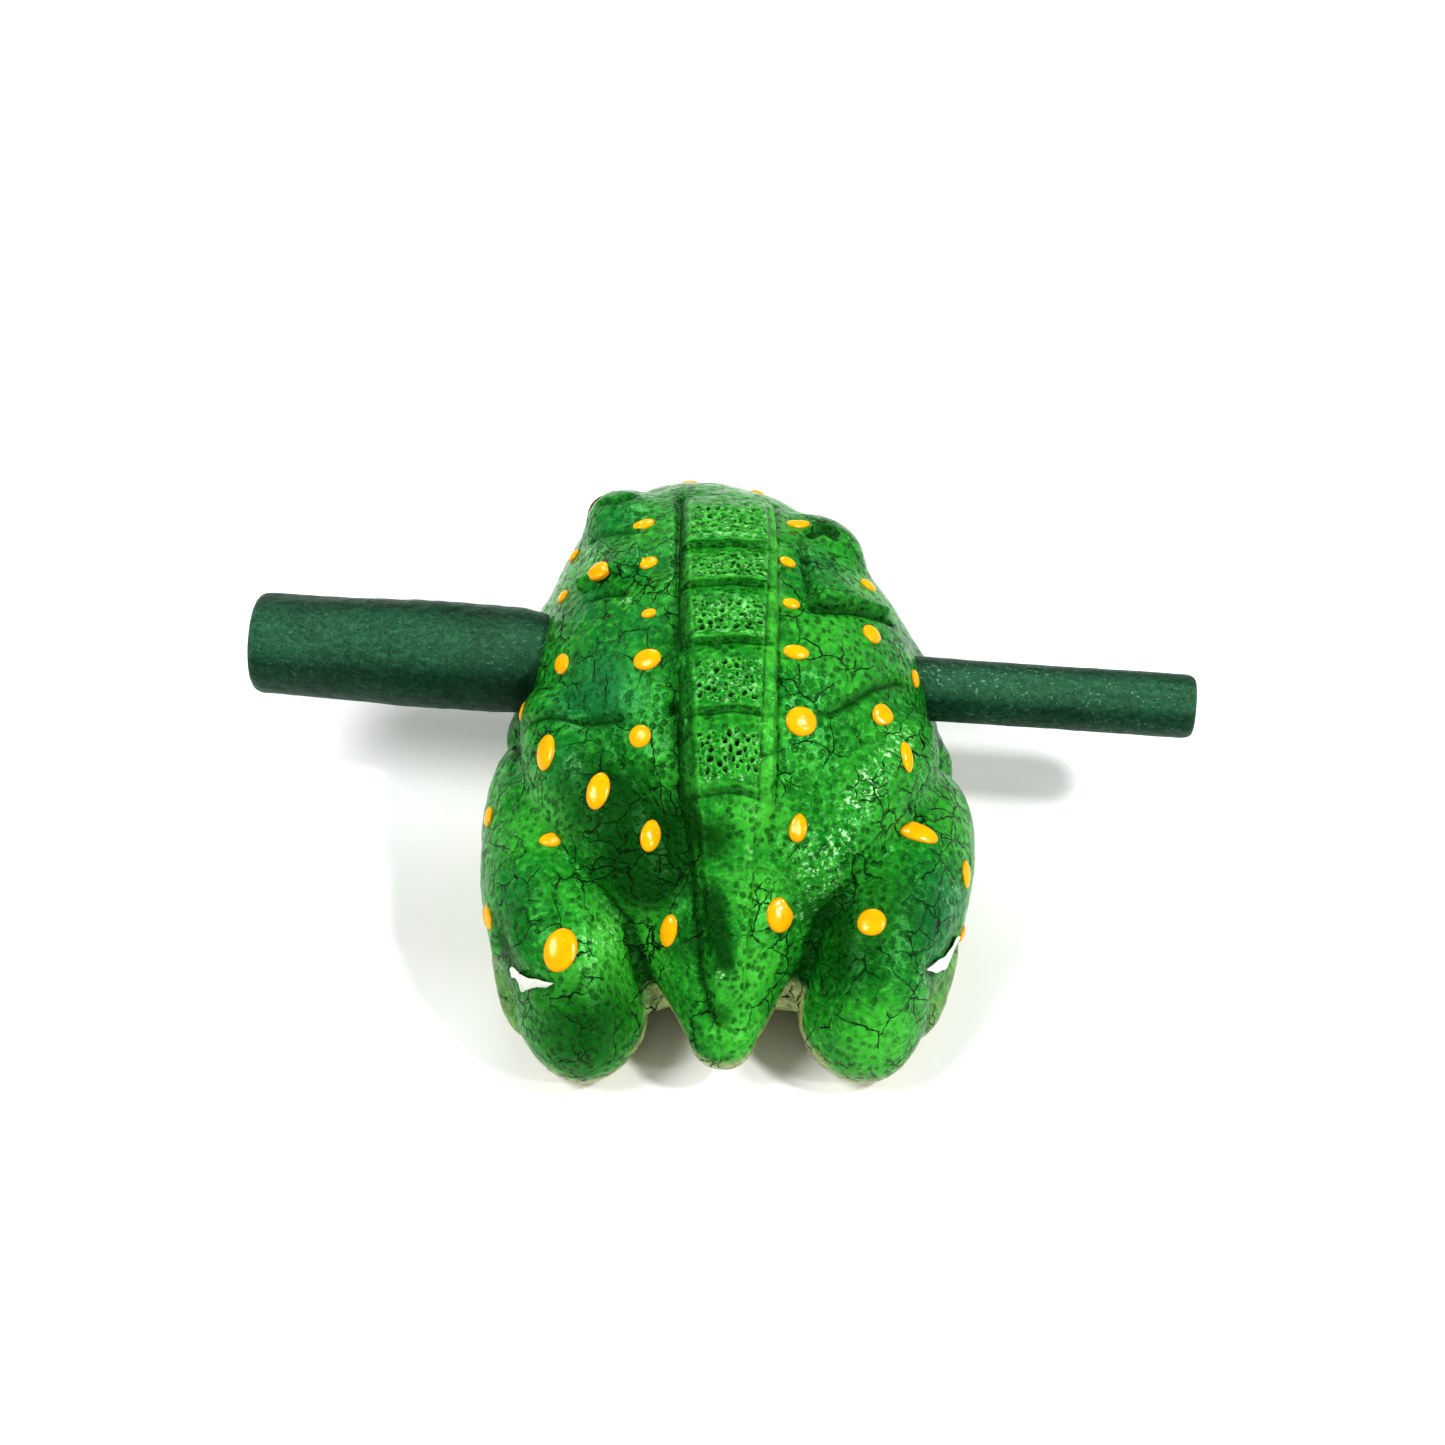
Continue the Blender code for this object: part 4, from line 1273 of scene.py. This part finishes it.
class BuildSpots(bpy.types.Operator):
    """Raised yellow paint spots, each a low dome that follows the skin, a little uneven in outline."""

    bl_idname = "croaking_frog.build_spots"
    bl_label = "Paint Spots"

    def execute(self, context):
        sizes = context.scene.croaking_frog_sizes
        rings, out = lens(PAINT_SPOTS, sizes.spot_height / MM)
        spots, points = new_tubes("paint_spots", rings, spot_paint("yellow_paint"))
        paint_attribute(spots.data, "rim", ramp(with_ends(out), 0.80, 1.0) * 0.8)
        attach(spots, BODY)
        return {"FINISHED"}


class BuildStrokes(bpy.types.Operator):
    """White brush strokes in the folds of the hind legs: long thin lenses that bend with the fold."""

    bl_idname = "croaking_frog.build_strokes"
    bl_label = "White Strokes"

    def execute(self, context):
        ribbons = [ribbon(path, STROKE_HEIGHT, half_width) for path, half_width in WHITE_STROKES]
        rings = np.concatenate(ribbons)
        strokes, _ = new_tubes("white_strokes", rings, white_paint("white_paint"))
        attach(strokes, BODY)
        return {"FINISHED"}


class BuildEyes(bpy.types.Operator):
    """Painted eyes on the front of the mounds: tall glossy domes with a pupil."""

    bl_idname = "croaking_frog.build_eyes"
    bl_label = "Eyes"

    def execute(self, context):
        radius = context.scene.croaking_frog_sizes.eye_radius / MM
        paint = eye_paint("eye_paint")
        for name, place in EYES.items():
            rings, out = lens([(*place, radius, radius, 0)], EYE_HEIGHT, rings=20, around=40, tuck=0.6)
            eye, _ = new_tubes(name, rings, paint)
            paint_attribute(eye.data, "outward", with_ends(out))
            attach(eye, BODY)
        return {"FINISHED"}


def stick_profile():
    """Places along the beater and its radii: quarter-round corners and flat ends close the turned body."""
    turned = np.linspace(0.0, math.pi / 2, END_RINGS + 1)[:-1]
    corner = END_ROUNDING * (1.0 - np.cos(turned))
    inset = np.linspace(1.0, 0.0, END_RINGS + 1)[:-1]
    rounding = END_ROUNDING * (1.0 - np.sqrt(1.0 - inset**2))
    near, far = ROD_END + END_GAP, CLUB_END - END_GAP
    body = np.linspace(near + END_ROUNDING, far - END_ROUNDING, 280)
    heights = np.concatenate([near + corner, body, (far - corner)[::-1]])
    radii = neck(heights, CLUB_RADIUS - SURFACE_GAP, ROD_RADIUS - SURFACE_GAP, 0.0)
    radii -= CLUB_TAPER * ramp(heights, CLUB_NECK[0] + 10.0, CLUB_END)
    radii[:END_RINGS] -= rounding
    radii[-END_RINGS:] -= rounding[::-1]
    caps = np.linspace(0.06, 0.92, END_RINGS)
    heights = np.pad(heights, END_RINGS, mode="edge")
    radii = np.concatenate([caps * radii[0], radii, (caps * radii[-1])[::-1]])
    return heights, radii


def lit_top_share(points):
    """Share of painted light: most where the stick faces up and a little towards the tail."""
    side = points[:, 1] - BEATER_AXIS_Y + math.tan(math.radians(SKEW_DEG)) * points[:, 0]
    rise = points[:, 2] - BEATER_AXIS_Z
    facing = (0.42 * side + 0.90 * rise) / np.maximum(np.hypot(side, rise), 0.1)
    return ramp(facing, 0.72, 1.0)


class BuildBeater(bpy.types.Operator):
    """The turned beater: its profile carried along the bore's axis, slightly out of round and uneven."""

    bl_idname = "croaking_frog.build_beater"
    bl_label = "Beater"

    def execute(self, context):
        heights, radii = stick_profile()
        rings = along_bore(heights, radii, 96)
        outward = rings - along_bore(heights, np.zeros_like(radii), 1)
        radius = length_of(outward)[..., None]
        drawn_out = rings.reshape(-1, 3) * np.array((0.5, 1.0, 1.0))
        hollow = 0.16 + 0.16 * ripple(drawn_out, 8.0, 41) + 0.05 * ripple(drawn_out, 1.9, 42)
        hollow = np.clip(hollow, 0.0, 0.7).reshape(rings.shape[:2])[..., None]
        rings = rings - outward / np.maximum(radius, 1e-6) * hollow * radius / CLUB_RADIUS
        beater, points = new_tubes("beater_stick", rings[None], stained_wood("stained_wood"))
        paint_attribute(beater.data, "thick", ramp(points[:, 0], CLUB_NECK[1], CLUB_NECK[0]))
        # Painted light on the stick's top, painted shade under it.
        paint_attribute(beater.data, "handled", lit_top_share(points))
        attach(beater, STICK)
        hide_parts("beater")
        return {"FINISHED"}


class BuildStage(bpy.types.Operator):
    """Pale floor, soft lights and the camera."""

    bl_idname = "croaking_frog.build_stage"
    bl_label = "Stage"

    def execute(self, context):
        scene = context.scene
        settings = scene.croaking_frog_stage
        edge = settings.floor_size / 2 / MM
        corners = [(-edge, -edge, 0.0), (edge, -edge, 0.0), (edge, edge, 0.0), (-edge, edge, 0.0)]
        floor = new_piece("floor", corners, [[(0, 1, 2, 3)]], painted_floor("pale_floor"), smooth=False)

        world = bpy.data.worlds.new("studio")
        world.use_nodes = True
        backdrop = world.node_tree.nodes["Background"]
        backdrop.inputs["Color"].default_value = (1.0, 1.0, 1.0, 1.0)
        backdrop.inputs["Strength"].default_value = STUDIO_BRIGHTNESS
        scene.world = world
        for name, place, width, watts in SOFTBOXES:
            self.softbox(name, place, width, watts)
        scene.view_settings.view_transform = "Standard"
        scene.view_settings.look = "High Contrast"
        self.aim_camera(scene, settings)
        return {"FINISHED"}

    @staticmethod
    def aim_camera(scene, settings):
        elevation = settings.camera_height
        back = Vector((0.0, math.cos(elevation), math.sin(elevation)))
        lens_data = bpy.data.cameras.new("camera")
        lens_data.lens = settings.focal_length
        lens_data.shift_x, lens_data.shift_y = CAMERA_SHIFT
        lens_data.clip_start = 0.01
        camera = bpy.data.objects.new("camera", lens_data)
        camera.location = Vector((0.0, 0.0, BACK_RADIUS * MM)) + back * settings.camera_distance
        camera.rotation_euler = back.to_track_quat("Z", "Y").to_euler()
        scene.collection.objects.link(camera)
        scene.camera = camera

    @staticmethod
    def softbox(name, place, size, energy):
        data = bpy.data.lights.new(name, "AREA")
        data.shape = "DISK"
        data.size = size
        data.energy = energy
        lamp = bpy.data.objects.new(name, data)
        lamp.location = place
        lamp.rotation_euler = Vector(place).to_track_quat("Z", "Y").to_euler()
        bpy.context.scene.collection.objects.link(lamp)


BUILD_ORDER = (BuildSkin, BuildSpine, BuildSpots, BuildStrokes, BuildEyes, BuildBeater, BuildStage)
SETTINGS = {
    "croaking_frog_sizes": FrogSizes,
    "croaking_frog_colours": FrogColours,
    "croaking_frog_stage": StageSettings,
}


class FrogPanel(bpy.types.Panel):
    """Lists the sizes, the colours and a button for each piece."""

    bl_idname = "VIEW3D_PT_croaking_frog"
    bl_label = "Croaking Frog"
    bl_space_type = "VIEW_3D"
    bl_region_type = "UI"
    bl_category = "Frog"

    def draw(self, context):
        for setting in SETTINGS:
            group = getattr(context.scene, setting)
            box = self.layout.box()
            for key in group.bl_rna.properties.keys():
                if key not in {"rna_type", "name"}:
                    box.prop(group, key)
        for operator in BUILD_ORDER:
            self.layout.operator(operator.bl_idname)


def register():
    for entry in (*SETTINGS.values(), *BUILD_ORDER, FrogPanel):
        bpy.utils.register_class(entry)
    for setting, group in SETTINGS.items():
        setattr(bpy.types.Scene, setting, PointerProperty(type=group))


def unregister():
    for setting in SETTINGS:
        delattr(bpy.types.Scene, setting)
    for entry in reversed((*SETTINGS.values(), *BUILD_ORDER, FrogPanel)):
        bpy.utils.unregister_class(entry)


def main():
    register()
    bpy.ops.croaking_frog.build_skin()
    bpy.ops.croaking_frog.build_spine()
    bpy.ops.croaking_frog.build_spots()
    bpy.ops.croaking_frog.build_strokes()
    bpy.ops.croaking_frog.build_eyes()
    bpy.ops.croaking_frog.build_beater()
    bpy.ops.croaking_frog.build_stage()


if __name__ == "__main__":
    main()
